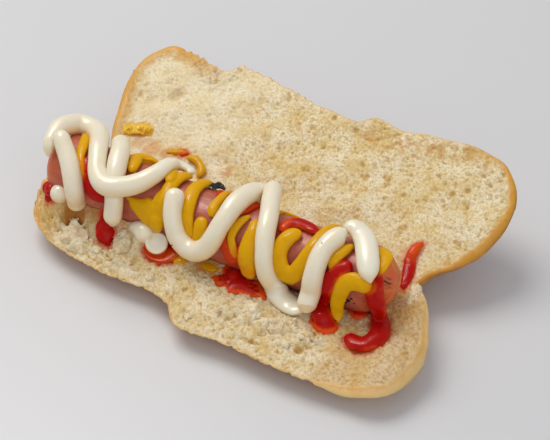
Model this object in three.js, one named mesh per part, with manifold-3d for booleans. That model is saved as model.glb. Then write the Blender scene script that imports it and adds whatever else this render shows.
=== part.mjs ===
// A hot dog served open. A split bread roll is laid wide, its two halves still joined along
// one side; a boiled sausage lies on the near half, against the join, and ketchup, mustard
// and mayonnaise are piped over it in that order.
//
// Millimetres, +Z up. The origin is on the floor under the middle of the sausage, +X runs
// along the sausage and +Y points to the far half of the roll.

import * as THREE from "three";
import { LoftGeometry } from "three/addons/geometries/LoftGeometry.js";
import { mergeVertices } from "three/addons/utils/BufferGeometryUtils.js";
import Module from "manifold-3d";

const wasm = await Module();
wasm.setup();

// ---------------------------------------------------------------- driving dimensions

const gap = 0.3; // clear space between pieces that touch

const sausage = {
  radius: 11.5,
  leftEnd: -66,
  rightEnd: 71,
  axisHeight: 20.5,
  bow: 2.2, // rise of the axis at the ends
  lean: 1.2, // how much lower the right end lies than the middle, before the bow
  halfSpan: 70, // length over which bow and lean are reached
  roundLength: 12, // each end closes over this length
  folds: 7, // gathers of the skin at the right end
  foldDepth: 0.16,
  sides: 28,
};

// An edge is a list of [x, distance across the half] knots from the left tip to the right.
const nearHalf = {
  outerEdge: [
    [-71, -4], [-69.5, -10], [-66, -15.5], [-58, -21.3], [-47, -25], [-26, -28], [0, -30],
    [4, -33.5], [8, -37.5], [25, -37.5], [49, -39], [68, -38.3], [79, -36.5], [85.5, -30],
    [88.2, -16],
  ],
  hingeEdge: [
    [-71, -4], [-69, 3], [-62, 9], [-52, 14], [-30, 17], [0, 18], [40, 18], [62, 18],
    [72, 17], [78, 10], [84.5, -3], [88.2, -16],
  ],
  crumbHeight: 13,
  slopeStart: -2, // the crumb falls away from here to the outer edge
  edgeDrop: 5.4,
  endRise: 2.5, // the ends curl up by this much
  endRiseFrom: 60,
  endRiseTo: 72,
  depth: 14, // crumb down to the lowest crust, before the flat base is cut
  rimWidth: 1.5,
  rimDrop: 0.9,
};

const farHalf = {
  outerEdge: [
    [-71, 46], [-70.2, 51.5], [-66.5, 58], [-61, 62], [-55, 61.8], [-49, 59], [-41, 56.5],
    [-36, 56.5], [-29.5, 60.5], [-23, 61.5], [-12, 59], [0, 56.3], [10, 55], [22, 53.5],
    [28, 57], [39, 56],
    [50, 57], [60, 57.3], [68, 56], [75, 54], [80.5, 51.5], [85, 48], [88.5, 43], [90, 37],
  ],
  hingeEdge: [
    [-71, 46], [-70, 38], [-67.5, 29], [-63.5, 18], [-59, 8], [-53.5, -1], [-46, -5], [-20, -6],
    [40, -6], [64, -5], [71, -1], [75, 7], [79, 11.5], [83, 16], [86, 22], [88.5, 28], [90, 37],
  ],
  tilt: THREE.MathUtils.degToRad(22),
  foot: [14, 13], // y and z of the line that it is tilted about
  depth: 24,
  rimWidth: 3,
  rimDrop: 0.6,
};

const crumbWave = { height: 0.7, length: 23 }; // the torn crumb is not quite level

// Lumps of crumb that stand up from the near half: [x, y, radius].
const crumbLumps = [
  [-46, -17.5, 3.4], [-37.5, -19.5, 3], [-30, -13.5, 3.8], [-24, -22, 2.6],
  [22, -27, 3.2], [29, -25.5, 3.4], [35, -26.5, 3], [43, -23.5, 3.2], [50, -25.5, 3.6],
];
const lumpSink = 0.45; // share of a lump's radius that is buried

const ringStep = 4.9; // spacing of the bread's cross-sections
const crumbPoints = 10; // points across the crumb of one section
const crustPoints = 10; // points along the crust under it

// ---------------------------------------------------------------- solids and meshes

function solidFrom(geometry) {
  const bare = new THREE.BufferGeometry();
  bare.setAttribute("position", geometry.attributes.position);
  bare.setIndex(geometry.index);
  const merged = mergeVertices(bare, 1e-4);
  const corners = merged.index.array;
  const triVerts = [];
  for (let i = 0; i < corners.length; i += 3) {
    const [a, b, c] = corners.subarray(i, i + 3);
    if (a !== b && b !== c && c !== a) triVerts.push(a, b, c);
  }
  return new wasm.Manifold(new wasm.Mesh({
    numProp: 3,
    vertProperties: new Float32Array(merged.attributes.position.array),
    triVerts: new Uint32Array(triVerts),
  }));
}

// A solid skinned over cross-sections, with each end drawn together to a point.
function loftSolid(rings) {
  const drawnTogether = (ring) => {
    const middle = ring.reduce((sum, point) => sum.add(point), new THREE.Vector3());
    middle.divideScalar(ring.length);
    return ring.map(() => middle);
  };
  return solidFrom(new LoftGeometry([drawnTogether(rings[0]), ...rings, drawnTogether(rings.at(-1))]));
}

function meshFrom(solid, name, material) {
  const { vertProperties, triVerts } = solid.getMesh();
  const geometry = new THREE.BufferGeometry();
  geometry.setAttribute("position", new THREE.BufferAttribute(vertProperties, 3));
  geometry.setIndex(new THREE.BufferAttribute(triVerts, 1));
  geometry.computeVertexNormals();
  const mesh = new THREE.Mesh(geometry, material);
  mesh.name = name;
  return mesh;
}

// The largest body that is left after a cut; crumbs of a few cubic millimetres are dropped.
function mainBody(solid) {
  const bodies = solid.decompose();
  bodies.sort((a, b) => b.volume() - a.volume());
  return bodies[0];
}

// ---------------------------------------------------------------- smooth helpers

// 0 before from, 1 after to, smooth between.
const rise = (value, from, to) => THREE.MathUtils.smoothstep(value, from, to);

// A smooth curve through [x, value] knots. It is fitted against the angle of a half circle
// that spans the knots, so that it leaves both tips at a right angle.
function edgeCurve(knots) {
  const left = knots[0][0];
  const right = knots.at(-1)[0];
  const angleAt = (x) => Math.acos(THREE.MathUtils.clamp(1 - (2 * (x - left)) / (right - left), -1, 1));
  const spline = new THREE.CubicInterpolant(
    knots.map(([x]) => angleAt(x)),
    knots.map(([, value]) => value),
    1,
  );
  return (x) => spline.evaluate(angleAt(x))[0];
}

// Stations from 0 to length, about step apart, closer together towards both ends.
function stations(length, step, endLength) {
  const steepness = [0.04, 0.2, 0.5, 1];
  const ends = steepness.map((share) => share * endLength);
  const inner = Math.max(1, Math.round((length - 2 * endLength) / step));
  const middle = Array.from({ length: inner - 1 }, (_, i) => {
    return endLength + ((length - 2 * endLength) * (i + 1)) / inner;
  });
  return [...ends, ...middle, ...ends.map((distance) => length - distance).reverse()];
}

// How full a rounded end is at a distance from it: 0 at the tip, 1 from roundLength on.
function endFullness(distance, roundLength) {
  const left = 1 - Math.min(distance / roundLength, 1);
  return Math.sqrt(1 - left * left);
}

// ---------------------------------------------------------------- sausage

function sausageAxis(x) {
  const share = x / sausage.halfSpan;
  return sausage.axisHeight + sausage.bow * share * share - sausage.lean * share;
}

function sausageSolid(grow) {
  const length = sausage.rightEnd - sausage.leftEnd;
  const rings = stations(length, 8, sausage.roundLength).map((distance) => {
    const x = sausage.leftEnd + distance;
    const fullness = endFullness(Math.min(distance, length - distance), sausage.roundLength);
    const gathered = rise(x, sausage.rightEnd - 0.8 * sausage.roundLength, sausage.rightEnd);
    const swell = 1 + 0.012 * Math.sin(x / 9);
    const ring = [];
    for (let i = 0; i < sausage.sides; i++) {
      const angle = (i / sausage.sides) * 2 * Math.PI;
      const fold = 1 - sausage.foldDepth * gathered * (0.5 + 0.5 * Math.cos(sausage.folds * angle));
      const radius = sausage.radius * fullness * swell * fold + grow;
      const z = sausageAxis(x) + radius * Math.sin(angle);
      ring.push(new THREE.Vector3(x, radius * Math.cos(angle), z));
    }
    return ring;
  });
  if (grow > 0) {
    for (const point of rings[0]) point.x -= grow;
    for (const point of rings.at(-1)) point.x += grow;
  }
  return loftSolid(rings);
}

// ---------------------------------------------------------------- bread

const nearOuter = edgeCurve(nearHalf.outerEdge);
const nearHinge = edgeCurve(nearHalf.hingeEdge);
const farOuter = edgeCurve(farHalf.outerEdge);
const farHinge = edgeCurve(farHalf.hingeEdge);

const wave = (x, across) => {
  const turn = (2 * Math.PI) / crumbWave.length;
  return crumbWave.height * Math.sin(x * turn) * Math.cos((across + 0.3 * x) * turn);
};

// How far the crumb is rounded off towards the crust, at a distance from the edge.
const rimFall = (half, distance) => half.rimDrop * (1 - rise(distance, 0, half.rimWidth));

// Height of the near half's crumb over the floor.
function nearCrumb(x, y) {
  const edge = nearOuter(x);
  const share = THREE.MathUtils.clamp((nearHalf.slopeStart - y) / (nearHalf.slopeStart - edge), 0, 1);
  const curl = nearHalf.endRise * rise(Math.abs(x - 8), nearHalf.endRiseFrom, nearHalf.endRiseTo);
  const fall = nearHalf.edgeDrop * Math.pow(share, 1.6) + rimFall(nearHalf, y - edge);
  return nearHalf.crumbHeight + curl - fall + wave(x, y) * (1 - share);
}

// Height of the far half's crumb over its own tilted plane.
function farCrumb(x, across) {
  const fromEdge = Math.min(farOuter(x) - across, across - farHinge(x));
  return wave(x, across) - rimFall(farHalf, fromEdge);
}

// A point of the far half, from its place on the tilted plane and its height over it.
function onFarPlane(x, across, height) {
  const { tilt, foot } = farHalf;
  return new THREE.Vector3(
    x,
    foot[0] + across * Math.cos(tilt) - height * Math.sin(tilt),
    foot[1] + across * Math.sin(tilt) + height * Math.cos(tilt),
  );
}

// One half: cross-sections from tip to tip. Each runs over the crumb from the high side to
// the low one, and back along the crust, which hangs below the line between the two edges.
function halfSolid({ left, right, low, high, crumb, hang, place, grow }) {
  const length = right - left;
  const rings = stations(length, ringStep, 0.09 * length).map((distance) => {
    const x = left + distance;
    const from = low(x) - grow;
    const width = high(x) + grow - from;
    const ring = [];
    for (let i = 0; i <= crumbPoints; i++) {
      const share = (1 + Math.cos((Math.PI * i) / crumbPoints)) / 2;
      const across = from + width * share;
      ring.push(place(x, across, crumb(x, across) + grow));
    }
    const startHeight = crumb(x, from) + grow;
    const endHeight = crumb(x, from + width) + grow;
    for (let i = 1; i < crustPoints; i++) {
      const share = (1 - Math.cos((Math.PI * i) / crustPoints)) / 2;
      const line = startHeight + (endHeight - startHeight) * share;
      ring.push(place(x, from + width * share, line - hang(share, distance / length)));
    }
    return ring;
  });
  return loftSolid(rings);
}

function nearSolid(grow) {
  return halfSolid({
    left: nearHalf.outerEdge[0][0],
    right: nearHalf.outerEdge.at(-1)[0],
    low: nearOuter,
    high: nearHinge,
    crumb: nearCrumb,
    hang: (share, along) => {
      const fullness = Math.pow(Math.sin(Math.PI * along), 0.5);
      return nearHalf.depth * fullness * (1 - Math.pow(2 * share - 1, 2));
    },
    place: (x, y, z) => new THREE.Vector3(x, y, z),
    grow,
  });
}

function farSolid(grow) {
  return halfSolid({
    left: farHalf.outerEdge[0][0],
    right: farHalf.outerEdge.at(-1)[0],
    low: farHinge,
    high: farOuter,
    crumb: farCrumb,
    hang: (share, along) => {
      const fullness = Math.pow(Math.sin(Math.PI * along), 0.45);
      const dome = Math.pow(1 - Math.pow(Math.abs(2 * share - 1), 2.3), 1 / 1.8);
      return farHalf.depth * fullness * dome;
    },
    place: onFarPlane,
    grow,
  });
}

function lumpSolid([x, y, radius], grow) {
  const geometry = new THREE.IcosahedronGeometry(radius + grow, 1);
  geometry.rotateZ(x);
  geometry.scale(1.15, 0.95, 0.85);
  geometry.translate(x, y, nearCrumb(x, y) + radius * (0.85 - 2 * lumpSink));
  return solidFrom(geometry);
}

function rollSolid(grow) {
  let roll = nearSolid(grow).add(farSolid(grow));
  for (const lump of crumbLumps) roll = roll.add(lumpSolid(lump, grow));
  return roll;
}

function floorBlock() {
  const size = 400;
  return solidFrom(new THREE.BoxGeometry(size, size, size).translate(0, 0, -size / 2));
}

// ---------------------------------------------------------------- sauce

// Places for a strand: a point on what it lies on, and the direction away from that.
// A turn on the sausage is in degrees from its top, positive towards the near half.
function onSausage(x, turn, extra = 0) {
  const angle = THREE.MathUtils.degToRad(turn);
  const outward = new THREE.Vector3(0, -Math.sin(angle), Math.cos(angle));
  const place = outward.clone().multiplyScalar(sausage.radius + extra);
  place.x = x;
  place.z += sausageAxis(x);
  return { place, outward };
}

function onNear(x, y, extra = 0) {
  return {
    place: new THREE.Vector3(x, y, nearCrumb(x, y) + extra),
    outward: new THREE.Vector3(0, 0, 1),
  };
}

function onFar(x, across, extra = 0) {
  return {
    place: onFarPlane(x, across, farCrumb(x, across) + extra),
    outward: onFarPlane(0, 0, 1).sub(onFarPlane(0, 0, 0)),
  };
}

// Half width, half height and lift of the centre line over what each sauce lies on.
const ketchup = { halfWidth: 2.2, halfHeight: 1.4, lift: 0.8, sides: 6, step: 3.8 };
const mustard = { halfWidth: 2.3, halfHeight: 1.6, lift: 1.1, sides: 6, step: 3.8 };
const mayonnaise = { halfWidth: 3.2, halfHeight: 3.2, lift: 3.0, sides: 8, step: 3.9 };
const pileUp = 0.75; // how much of both thicknesses is kept where one strand crosses another

// Points down the middle of a strand, each with its outward direction and its fullness.
// Where it crosses a strand laid before it, it is lifted over that one.
function strandPoints(sauce, route, earlier) {
  const width = sauce.halfWidth;
  const middle = route.map(({ place, outward }) => place.clone().addScaledVector(outward, sauce.lift));
  const curve = new THREE.CatmullRomCurve3(middle, false, "centripetal");
  const outwards = new THREE.CatmullRomCurve3(route.map(({ outward }) => outward), false, "centripetal");
  const length = curve.getLength();
  return stations(length, sauce.step, Math.min(width, 0.4 * length)).map((distance) => {
    const t = curve.getUtoTmapping(distance / length);
    const point = curve.getPoint(t);
    const outward = outwards.getPoint(t).normalize();
    let lift = 0;
    for (const other of earlier) {
      const away = point.clone().sub(other.point);
      const height = away.dot(outward);
      const aside = away.addScaledVector(outward, -height).length() / (width + other.halfWidth);
      if (aside >= 1 || Math.abs(height) > sauce.halfHeight + other.halfHeight) continue;
      const both = pileUp * (sauce.halfHeight + other.halfHeight);
      lift = Math.max(lift, both * Math.sqrt(1 - aside * aside) - height);
    }
    point.addScaledVector(outward, lift);
    const fullness = endFullness(Math.min(distance, length - distance), width);
    return { point, outward, fullness, halfWidth: width, halfHeight: sauce.halfHeight };
  });
}

// A strand is an ellipse carried along its points, standing on its outward direction.
function strandSolid(sauce, points, grow) {
  const rings = points.map(({ point, outward, fullness }, i) => {
    const before = points[Math.max(i - 1, 0)].point;
    const after = points[Math.min(i + 1, points.length - 1)].point;
    const along = after.clone().sub(before).normalize();
    const side = outward.clone().cross(along).normalize();
    const up = along.clone().cross(side);
    return Array.from({ length: sauce.sides }, (_, k) => {
      const angle = (k / sauce.sides) * 2 * Math.PI;
      const across = (sauce.halfWidth * fullness + grow) * Math.cos(angle);
      const high = (sauce.halfHeight * fullness + grow) * Math.sin(angle);
      return point.clone().addScaledVector(side, across).addScaledVector(up, high);
    });
  });
  return loftSolid(rings);
}

// Every strand in the order in which it is laid. Routes that run into each other are one
// piece.
const strands = [
  {
    name: "ketchup_left",
    sauce: ketchup,
    routes: [[
      onSausage(-49, 20), onSausage(-45, 44), onSausage(-42, 60), onSausage(-39, 76),
      onSausage(-37.5, 95), onNear(-37, -14, 0.6), onNear(-35, -17, 0.6),
    ]],
  },
  {
    name: "ketchup_under_curl",
    sauce: ketchup,
    routes: [[onNear(-18, -16, 0.4), onNear(-13, -16.5, 0.4), onNear(-8, -14, 0.4)]],
  },
  {
    name: "ketchup_middle",
    sauce: ketchup,
    routes: [
      [
        onSausage(17, -13), onSausage(15, 3), onSausage(13, 20), onSausage(12, 39),
        onSausage(12, 56), onSausage(13, 76), onSausage(15, 95), onNear(17, -14.5, 0.8),
      ],
      [
        onNear(10.5, -13, 0.6), onNear(14, -15, 1), onNear(19, -16, 1.2), onNear(25, -15.5, 0.8),
        onNear(29.5, -16.5, 0.4),
      ],
    ],
  },
  {
    name: "ketchup_arch",
    sauce: ketchup,
    routes: [[
      onSausage(42, -1), onSausage(38, -9), onSausage(34, -5), onSausage(32, 10), onSausage(31, 27),
    ]],
  },
  {
    name: "ketchup_right_stripe",
    sauce: ketchup,
    routes: [[
      onSausage(57, 34), onSausage(55, 46), onSausage(53, 65), onSausage(52, 87),
      onNear(53, -16, 1), onNear(55.5, -18, 0.8),
    ]],
  },
  {
    name: "ketchup_hook",
    sauce: ketchup,
    routes: [[
      onSausage(66.5, 18), onSausage(67, 38), onSausage(67, 57), onSausage(67.5, 80),
      onNear(70, -10, 1.4), onNear(73, -13, 0.8), onNear(73, -17.5, 0.8), onNear(69.5, -21, 0.8),
      onNear(64.5, -20.5, 0.8),
    ]],
  },
  {
    name: "ketchup_far_streak",
    sauce: ketchup,
    routes: [[
      onFar(67, 16, 0.4), onFar(66, 13, 0.4), onFar(65, 9.4, 0.4), onFar(66, 5.4, 0.4),
      onFar(66.5, 1.4, 0.4),
    ]],
  },
  {
    name: "mustard_left",
    sauce: mustard,
    routes: [[
      onSausage(-56, -41, 0.4), onSausage(-51, 1), onSausage(-50, 24), onSausage(-49, 38),
    ]],
  },
  {
    name: "mustard_back",
    sauce: mustard,
    routes: [[
      onSausage(-30, 18), onSausage(-32, -9), onSausage(-34, -41, 0.6), onSausage(-30, -41, 0.8),
      onSausage(-25, -26),
    ]],
  },
  {
    name: "mustard_swath",
    sauce: mustard,
    routes: [
      [
        onSausage(-28, 50), onSausage(-22, 62), onSausage(-18, 58), onSausage(-15.5, 41),
        onSausage(-15, 21), onSausage(-15, -5), onSausage(-17, -38), onSausage(-12, -36),
      ],
      [onSausage(-25, 45), onSausage(-20, 52), onSausage(-18, 42)],
      [onSausage(-23, 55), onSausage(-18.5, 70), onSausage(-16, 84)],
      [onSausage(-15.5, 40), onSausage(-16, 60), onSausage(-17, 76)],
    ],
  },
  {
    name: "mustard_bend",
    sauce: mustard,
    routes: [[
      onSausage(-5, -25), onSausage(-6, -9), onSausage(-6, 11), onSausage(-5, 31),
      onSausage(-4, 50), onSausage(-2, 66), onSausage(-1, 80),
    ]],
  },
  {
    name: "mustard_short",
    sauce: mustard,
    routes: [[onSausage(5, 21), onSausage(3, 38), onSausage(3, 56), onSausage(3, 72)]],
  },
  {
    name: "mustard_middle",
    sauce: mustard,
    routes: [
      [
        onSausage(17, 14), onSausage(15, 26), onSausage(14.4, 40), onSausage(15, 55),
        onSausage(17.5, 70),
      ],
    ],
  },
  {
    name: "mustard_drop",
    sauce: mustard,
    routes: [[
      onSausage(21, 23), onSausage(21, 42), onSausage(21, 61), onSausage(21, 80), onSausage(22, 101),
    ]],
  },
  {
    name: "mustard_bowl",
    sauce: mustard,
    routes: [
      [
        onSausage(35, 14), onSausage(33, 24), onSausage(33, 40), onSausage(34, 57),
        onSausage(37, 71), onSausage(40, 66), onSausage(42, 52), onSausage(44, 36),
        onSausage(46, 19), onSausage(49, 4), onSausage(53, -8),
      ],
    ],
  },
  {
    name: "mustard_right",
    sauce: mustard,
    routes: [
      [
        onSausage(67, 55), onSausage(63, 56), onSausage(60, 63), onSausage(57.5, 78),
        onSausage(56.5, 97),
      ],
    ],
  },
  {
    name: "mustard_far_blob",
    sauce: mustard,
    routes: [[onFar(-58, 20.6, 0.4), onFar(-54, 22.4, 0.6), onFar(-49, 21.7, 0.4)]],
  },
  {
    name: "mayo_loop",
    sauce: mayonnaise,
    routes: [
      [
        onSausage(-61, 46), onSausage(-63, 33), onSausage(-63, 15), onSausage(-63, -5),
        onSausage(-65, -36), onSausage(-62, -41, 2), onSausage(-56, -41, 3.2),
        onSausage(-51.5, -41, 2.4), onSausage(-48, -12), onSausage(-45, 13), onSausage(-42, 30),
        onSausage(-40, 41), onSausage(-36, 49), onSausage(-31, 52), onSausage(-26, 45),
        onSausage(-22, 28), onSausage(-20, 7), onSausage(-20, -20), onSausage(-19, -41, 1.2),
        onSausage(-15, -41, 1.4), onSausage(-12, -41),
      ],
      [
        onSausage(-60, 12), onSausage(-56, 26), onSausage(-52, 42), onSausage(-49, 60),
        onSausage(-47, 77), onSausage(-46, 92),
      ],
      [
        onSausage(-42, -36, 0.6), onSausage(-37, -2, -0.4), onSausage(-34, 25, -0.4),
        onSausage(-32, 53, -0.4), onSausage(-31, 73, -0.4), onSausage(-31, 93, -0.4),
      ],
    ],
  },
  {
    name: "mayo_curl",
    sauce: mayonnaise,
    routes: [[onNear(-27, -9.5, -0.8), onNear(-21, -11.6, -0.2), onNear(-14.6, -13.4, 0.4)]],
  },
  {
    name: "mayo_zigzag",
    sauce: mayonnaise,
    routes: [
      [
        onSausage(-11, 22), onSausage(-10, 38), onSausage(-9, 55), onSausage(-7, 70),
        onSausage(-5, 85), onSausage(-2, 98), onSausage(2, 102), onSausage(6, 89),
        onSausage(9, 70), onSausage(10, 51), onSausage(11, 33), onSausage(12, 14),
        onSausage(13, -8), onSausage(13.5, -41, 0.6), onSausage(18, -41, 1.2), onSausage(20.5, -24),
        onSausage(23, 6), onSausage(25, 26), onSausage(27, 45), onSausage(28, 64),
        onSausage(30, 83), onSausage(33, 101, 0.4), onSausage(37, 111, 1), onSausage(41, 112, 1.4),
        onSausage(44, 104, 1), onSausage(45.5, 89), onSausage(46, 71), onSausage(46, 52),
        onSausage(47, 36), onSausage(49, 19), onSausage(52, 4), onSausage(54.5, -8),
        onSausage(58, 6, 0.8), onSausage(61, 21, 0.4), onSausage(64, 37), onSausage(65, 48),
      ],
    ],
  },
];

// ---------------------------------------------------------------- assembly

const finishes = {
  bread: new THREE.MeshStandardMaterial({ color: "#e2c486", roughness: 0.9, metalness: 0 }),
  skin: new THREE.MeshStandardMaterial({ color: "#a86450", roughness: 0.35, metalness: 0 }),
  ketchup: new THREE.MeshStandardMaterial({ color: "#a81c10", roughness: 0.15, metalness: 0 }),
  mustard: new THREE.MeshStandardMaterial({ color: "#dca410", roughness: 0.3, metalness: 0 }),
  mayonnaise: new THREE.MeshStandardMaterial({ color: "#ece4cc", roughness: 0.25, metalness: 0 }),
};
const sauceFinish = new Map([
  [ketchup, finishes.ketchup],
  [mustard, finishes.mustard],
  [mayonnaise, finishes.mayonnaise],
]);

const hotDog = new THREE.Group();
hotDog.name = "hot_dog";

const sausageRoom = sausageSolid(gap);
const roll = mainBody(rollSolid(0).subtract(floorBlock()).subtract(sausageRoom));
hotDog.add(meshFrom(roll, "bun", finishes.bread));
hotDog.add(meshFrom(sausageSolid(0), "sausage", finishes.skin));

let taken = sausageRoom.add(rollSolid(gap)); // room that a strand stays out of
const laid = [];
for (const { name, sauce, routes } of strands) {
  const lines = routes.map((route) => strandPoints(sauce, route, laid));
  const join = (grow) => lines.map((points) => strandSolid(sauce, points, grow)).reduce((a, b) => a.add(b));
  const strand = mainBody(join(0).subtract(taken));
  hotDog.add(meshFrom(strand, name, sauceFinish.get(sauce)));
  taken = taken.add(join(gap));
  laid.push(...lines.flat());
}

export default hotDog;
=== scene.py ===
# A hot dog served open. A roll is split wide with its two halves still joined, a boiled
# sausage lies on the near half, and ketchup, mustard and mayonnaise are piped over it.
# Lengths are millimetres until a mesh is made. +X runs along the sausage, +Y points to the
# far half of the roll and +Z is up.

import bpy
import numpy as np
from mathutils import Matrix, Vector


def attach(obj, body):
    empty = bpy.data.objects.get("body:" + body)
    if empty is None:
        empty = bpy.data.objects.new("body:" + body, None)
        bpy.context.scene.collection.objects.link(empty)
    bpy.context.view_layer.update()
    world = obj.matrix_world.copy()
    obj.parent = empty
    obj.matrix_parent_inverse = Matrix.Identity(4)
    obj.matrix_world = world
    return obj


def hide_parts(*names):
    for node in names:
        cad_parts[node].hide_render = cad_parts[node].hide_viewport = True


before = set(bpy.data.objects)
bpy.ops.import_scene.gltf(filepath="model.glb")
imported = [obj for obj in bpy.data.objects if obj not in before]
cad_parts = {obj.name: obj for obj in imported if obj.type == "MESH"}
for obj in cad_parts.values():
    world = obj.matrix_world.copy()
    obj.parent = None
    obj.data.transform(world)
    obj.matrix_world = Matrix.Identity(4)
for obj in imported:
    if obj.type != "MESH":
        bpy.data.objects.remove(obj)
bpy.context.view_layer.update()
mm = 0.001
print("frame loaded:", len(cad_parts), "nodes")


# small helpers

def toLinear(hexColour):
    # the standard sRGB curve undone: c / 12.92 below 0.04045, else ((c + 0.055) / 1.055) ^ 2.4
    c = np.array([int(hexColour[i:i + 2], 16) for i in (1, 3, 5)]) / 255
    linear = np.where(c <= 0.04045, c / 12.92, ((c + 0.055) / 1.055) ** 2.4)
    return (*linear.tolist(), 1.0)


def addNode(tree, kind, settings=None, inputs=None, stops=None):
    # adds a node; an input is a plain value, a hex colour or another node's output, which is linked
    node = tree.nodes.new(kind)
    for name, value in (settings or {}).items():
        setattr(node, name, value)
    for socket, value in (inputs or {}).items():
        if isinstance(value, bpy.types.NodeSocket):
            tree.links.new(value, node.inputs[socket])
        elif isinstance(value, str):
            node.inputs[socket].default_value = toLinear(value)
        else:
            node.inputs[socket].default_value = value
    if stops:
        ramp = node.color_ramp.elements
        while len(ramp) < len(stops):
            ramp.new(1.0)
        for element, (place, colour) in zip(ramp, stops):
            element.position = place
            element.color = toLinear(colour) if isinstance(colour, str) else (colour, colour, colour, 1.0)
    return node


def smoothRise(value, low, high):
    # 0 below low, 1 above high and 3t^2 - 2t^3 between them
    t = np.clip((value - low) / (high - low), 0, 1)
    return t * t * (3 - 2 * t)


def plateau(value, riseFrom, riseTo, fallFrom, fallTo):
    # 1 in the middle, easing to 0 at both sides
    return smoothRise(value, riseFrom, riseTo) * (1 - smoothRise(value, fallFrom, fallTo))


def hashed(cells, salt):
    # whole-number lattice cells turned into numbers spread evenly over 0 to 1
    h = (cells * np.array([374761393, 668265263, 1440662683])[:cells.shape[-1]]).sum(-1)
    h = (h + salt * 69069) & 0xFFFFFFFF
    h = ((h ^ (h >> 15)) * 2246822519) & 0xFFFFFFFF
    h = ((h ^ (h >> 13)) * 3266489917) & 0xFFFFFFFF
    return ((h ^ (h >> 16)) & 0xFFFFFF) / 0xFFFFFF


def softNoise(points, cell, salt):
    # gradient noise: random slopes on a lattice of cells, blended by 6t^5 - 15t^4 + 10t^3
    scaled = points / cell
    base = np.floor(scaled).astype(np.int64)
    part = scaled - base
    blend = part ** 3 * (part * (part * 6 - 15) + 10)
    total = np.zeros(len(points))
    for corner in np.ndindex(*(2,) * points.shape[1]):
        corner = np.array(corner)
        weight = np.prod(np.where(corner == 1, blend, 1 - blend), axis=1)
        slopes = [hashed(base + corner, salt + k) * 2 - 1 for k in range(points.shape[1])]
        total += weight * np.sum(np.stack(slopes, -1) * (part - corner), axis=1)
    return total * 1.4


def layeredNoise(points, cell, layers, salt):
    # soft noise summed, each layer half the size and 0.55 of the strength of the one before
    return sum(0.55 ** k * softNoise(points + 7.3 * k, cell / 2 ** k, salt + 11 * k) for k in range(layers))


def bubbles(flat, cell, share, salt):
    # gas bubbles cut open: a lattice cell may hold one oval bowl with its own size and turn,
    # (1 - d^2)^0.6 deep; where bowls meet the deeper one counts
    scaled = flat / cell
    base = np.floor(scaled).astype(np.int64)
    depth = np.zeros(len(flat))
    for shift in np.ndindex(3, 3):
        home = base + np.array(shift) - 1
        middle = home + 0.2 + 0.6 * np.stack([hashed(home, salt), hashed(home, salt + 1)], -1)
        size = 0.22 + 0.33 * hashed(home, salt + 2)
        turn = np.pi * hashed(home, salt + 3)
        slim = 0.55 + 0.45 * hashed(home, salt + 4)
        away = scaled - middle
        along = away[:, 0] * np.cos(turn) + away[:, 1] * np.sin(turn)
        aside = (away[:, 1] * np.cos(turn) - away[:, 0] * np.sin(turn)) / slim
        bowl = np.clip(1 - (along ** 2 + aside ** 2) / size ** 2, 0, 1) ** 0.6 * size / 0.55
        depth = np.maximum(depth, np.where(hashed(home, salt + 5) < share, bowl, 0))
    return depth


def nearest(points, targets, parts=24):
    # distance from each point to the closest target, and which one that is
    found = []
    for some in np.array_split(points, parts):
        away = ((some[:, None] - targets[None]) ** 2).sum(-1)
        closest = away.argmin(1)
        found.append((np.sqrt(away[np.arange(len(some)), closest]), closest))
    return np.concatenate([f[0] for f in found]), np.concatenate([f[1] for f in found])


def clearance(points, sources, parts=24):
    # distance from each point to the skin of the closest source, given as x, y, z and reach
    points, sources = points.astype(np.float32), sources.astype(np.float32)
    found = []
    for some in np.array_split(points, parts):
        away = np.sqrt(((some[:, None] - sources[None, :, :3]) ** 2).sum(-1)) - sources[:, 3]
        found.append(away.min(1))
    return np.concatenate(found)


def edgeCurve(knots):
    # a cubic through [x, value] knots, fitted against the angle of the half circle over them,
    # so that it leaves both tips at a right angle; the ends carry no curvature
    knots = np.array(knots, float)
    left, right = knots[0, 0], knots[-1, 0]

    def angleAt(x):
        return np.arccos(np.clip(1 - 2 * (x - left) / (right - left), -1, 1))

    places, values = angleAt(knots[:, 0]), knots[:, 1]
    last = len(knots) - 1

    def evaluate(x):
        angle = angleAt(x)
        i = np.clip(np.searchsorted(places, angle, side="right"), 1, last)
        start, end = places[i - 1], places[i]
        before = np.where(i >= 2, i - 2, i)
        after = np.where(i < last, i + 1, i - 1)
        half = (end - start) / 2
        pull = half / (start - places[before])
        push = half / (places[np.minimum(after, last)] - end)
        t = (angle - start) / (end - start)
        t2, t3 = t * t, t * t * t
        return (
            (-pull * t3 + 2 * pull * t2 - pull * t) * values[before]
            + ((1 + pull) * t3 + (-1.5 - 2 * pull) * t2 + (pull - 0.5) * t + 1) * values[i - 1]
            + ((-1 - push) * t3 + (1.5 + push) * t2 + 0.5 * t) * values[i]
            + (push * t3 - push * t2) * values[after]
        )

    return evaluate


def stations(length, count, endLength):
    # distances between 0 and length, even in the middle and closing up as a square at the ends
    s = np.linspace(0, length + endLength, count + 2)[1:-1]
    inward = np.minimum(s, length + endLength - s)
    distance = np.where(inward < endLength, inward ** 2 / (2 * endLength), inward - endLength / 2)
    return np.where(s <= (length + endLength) / 2, distance, length - distance)


# meshes

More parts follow.
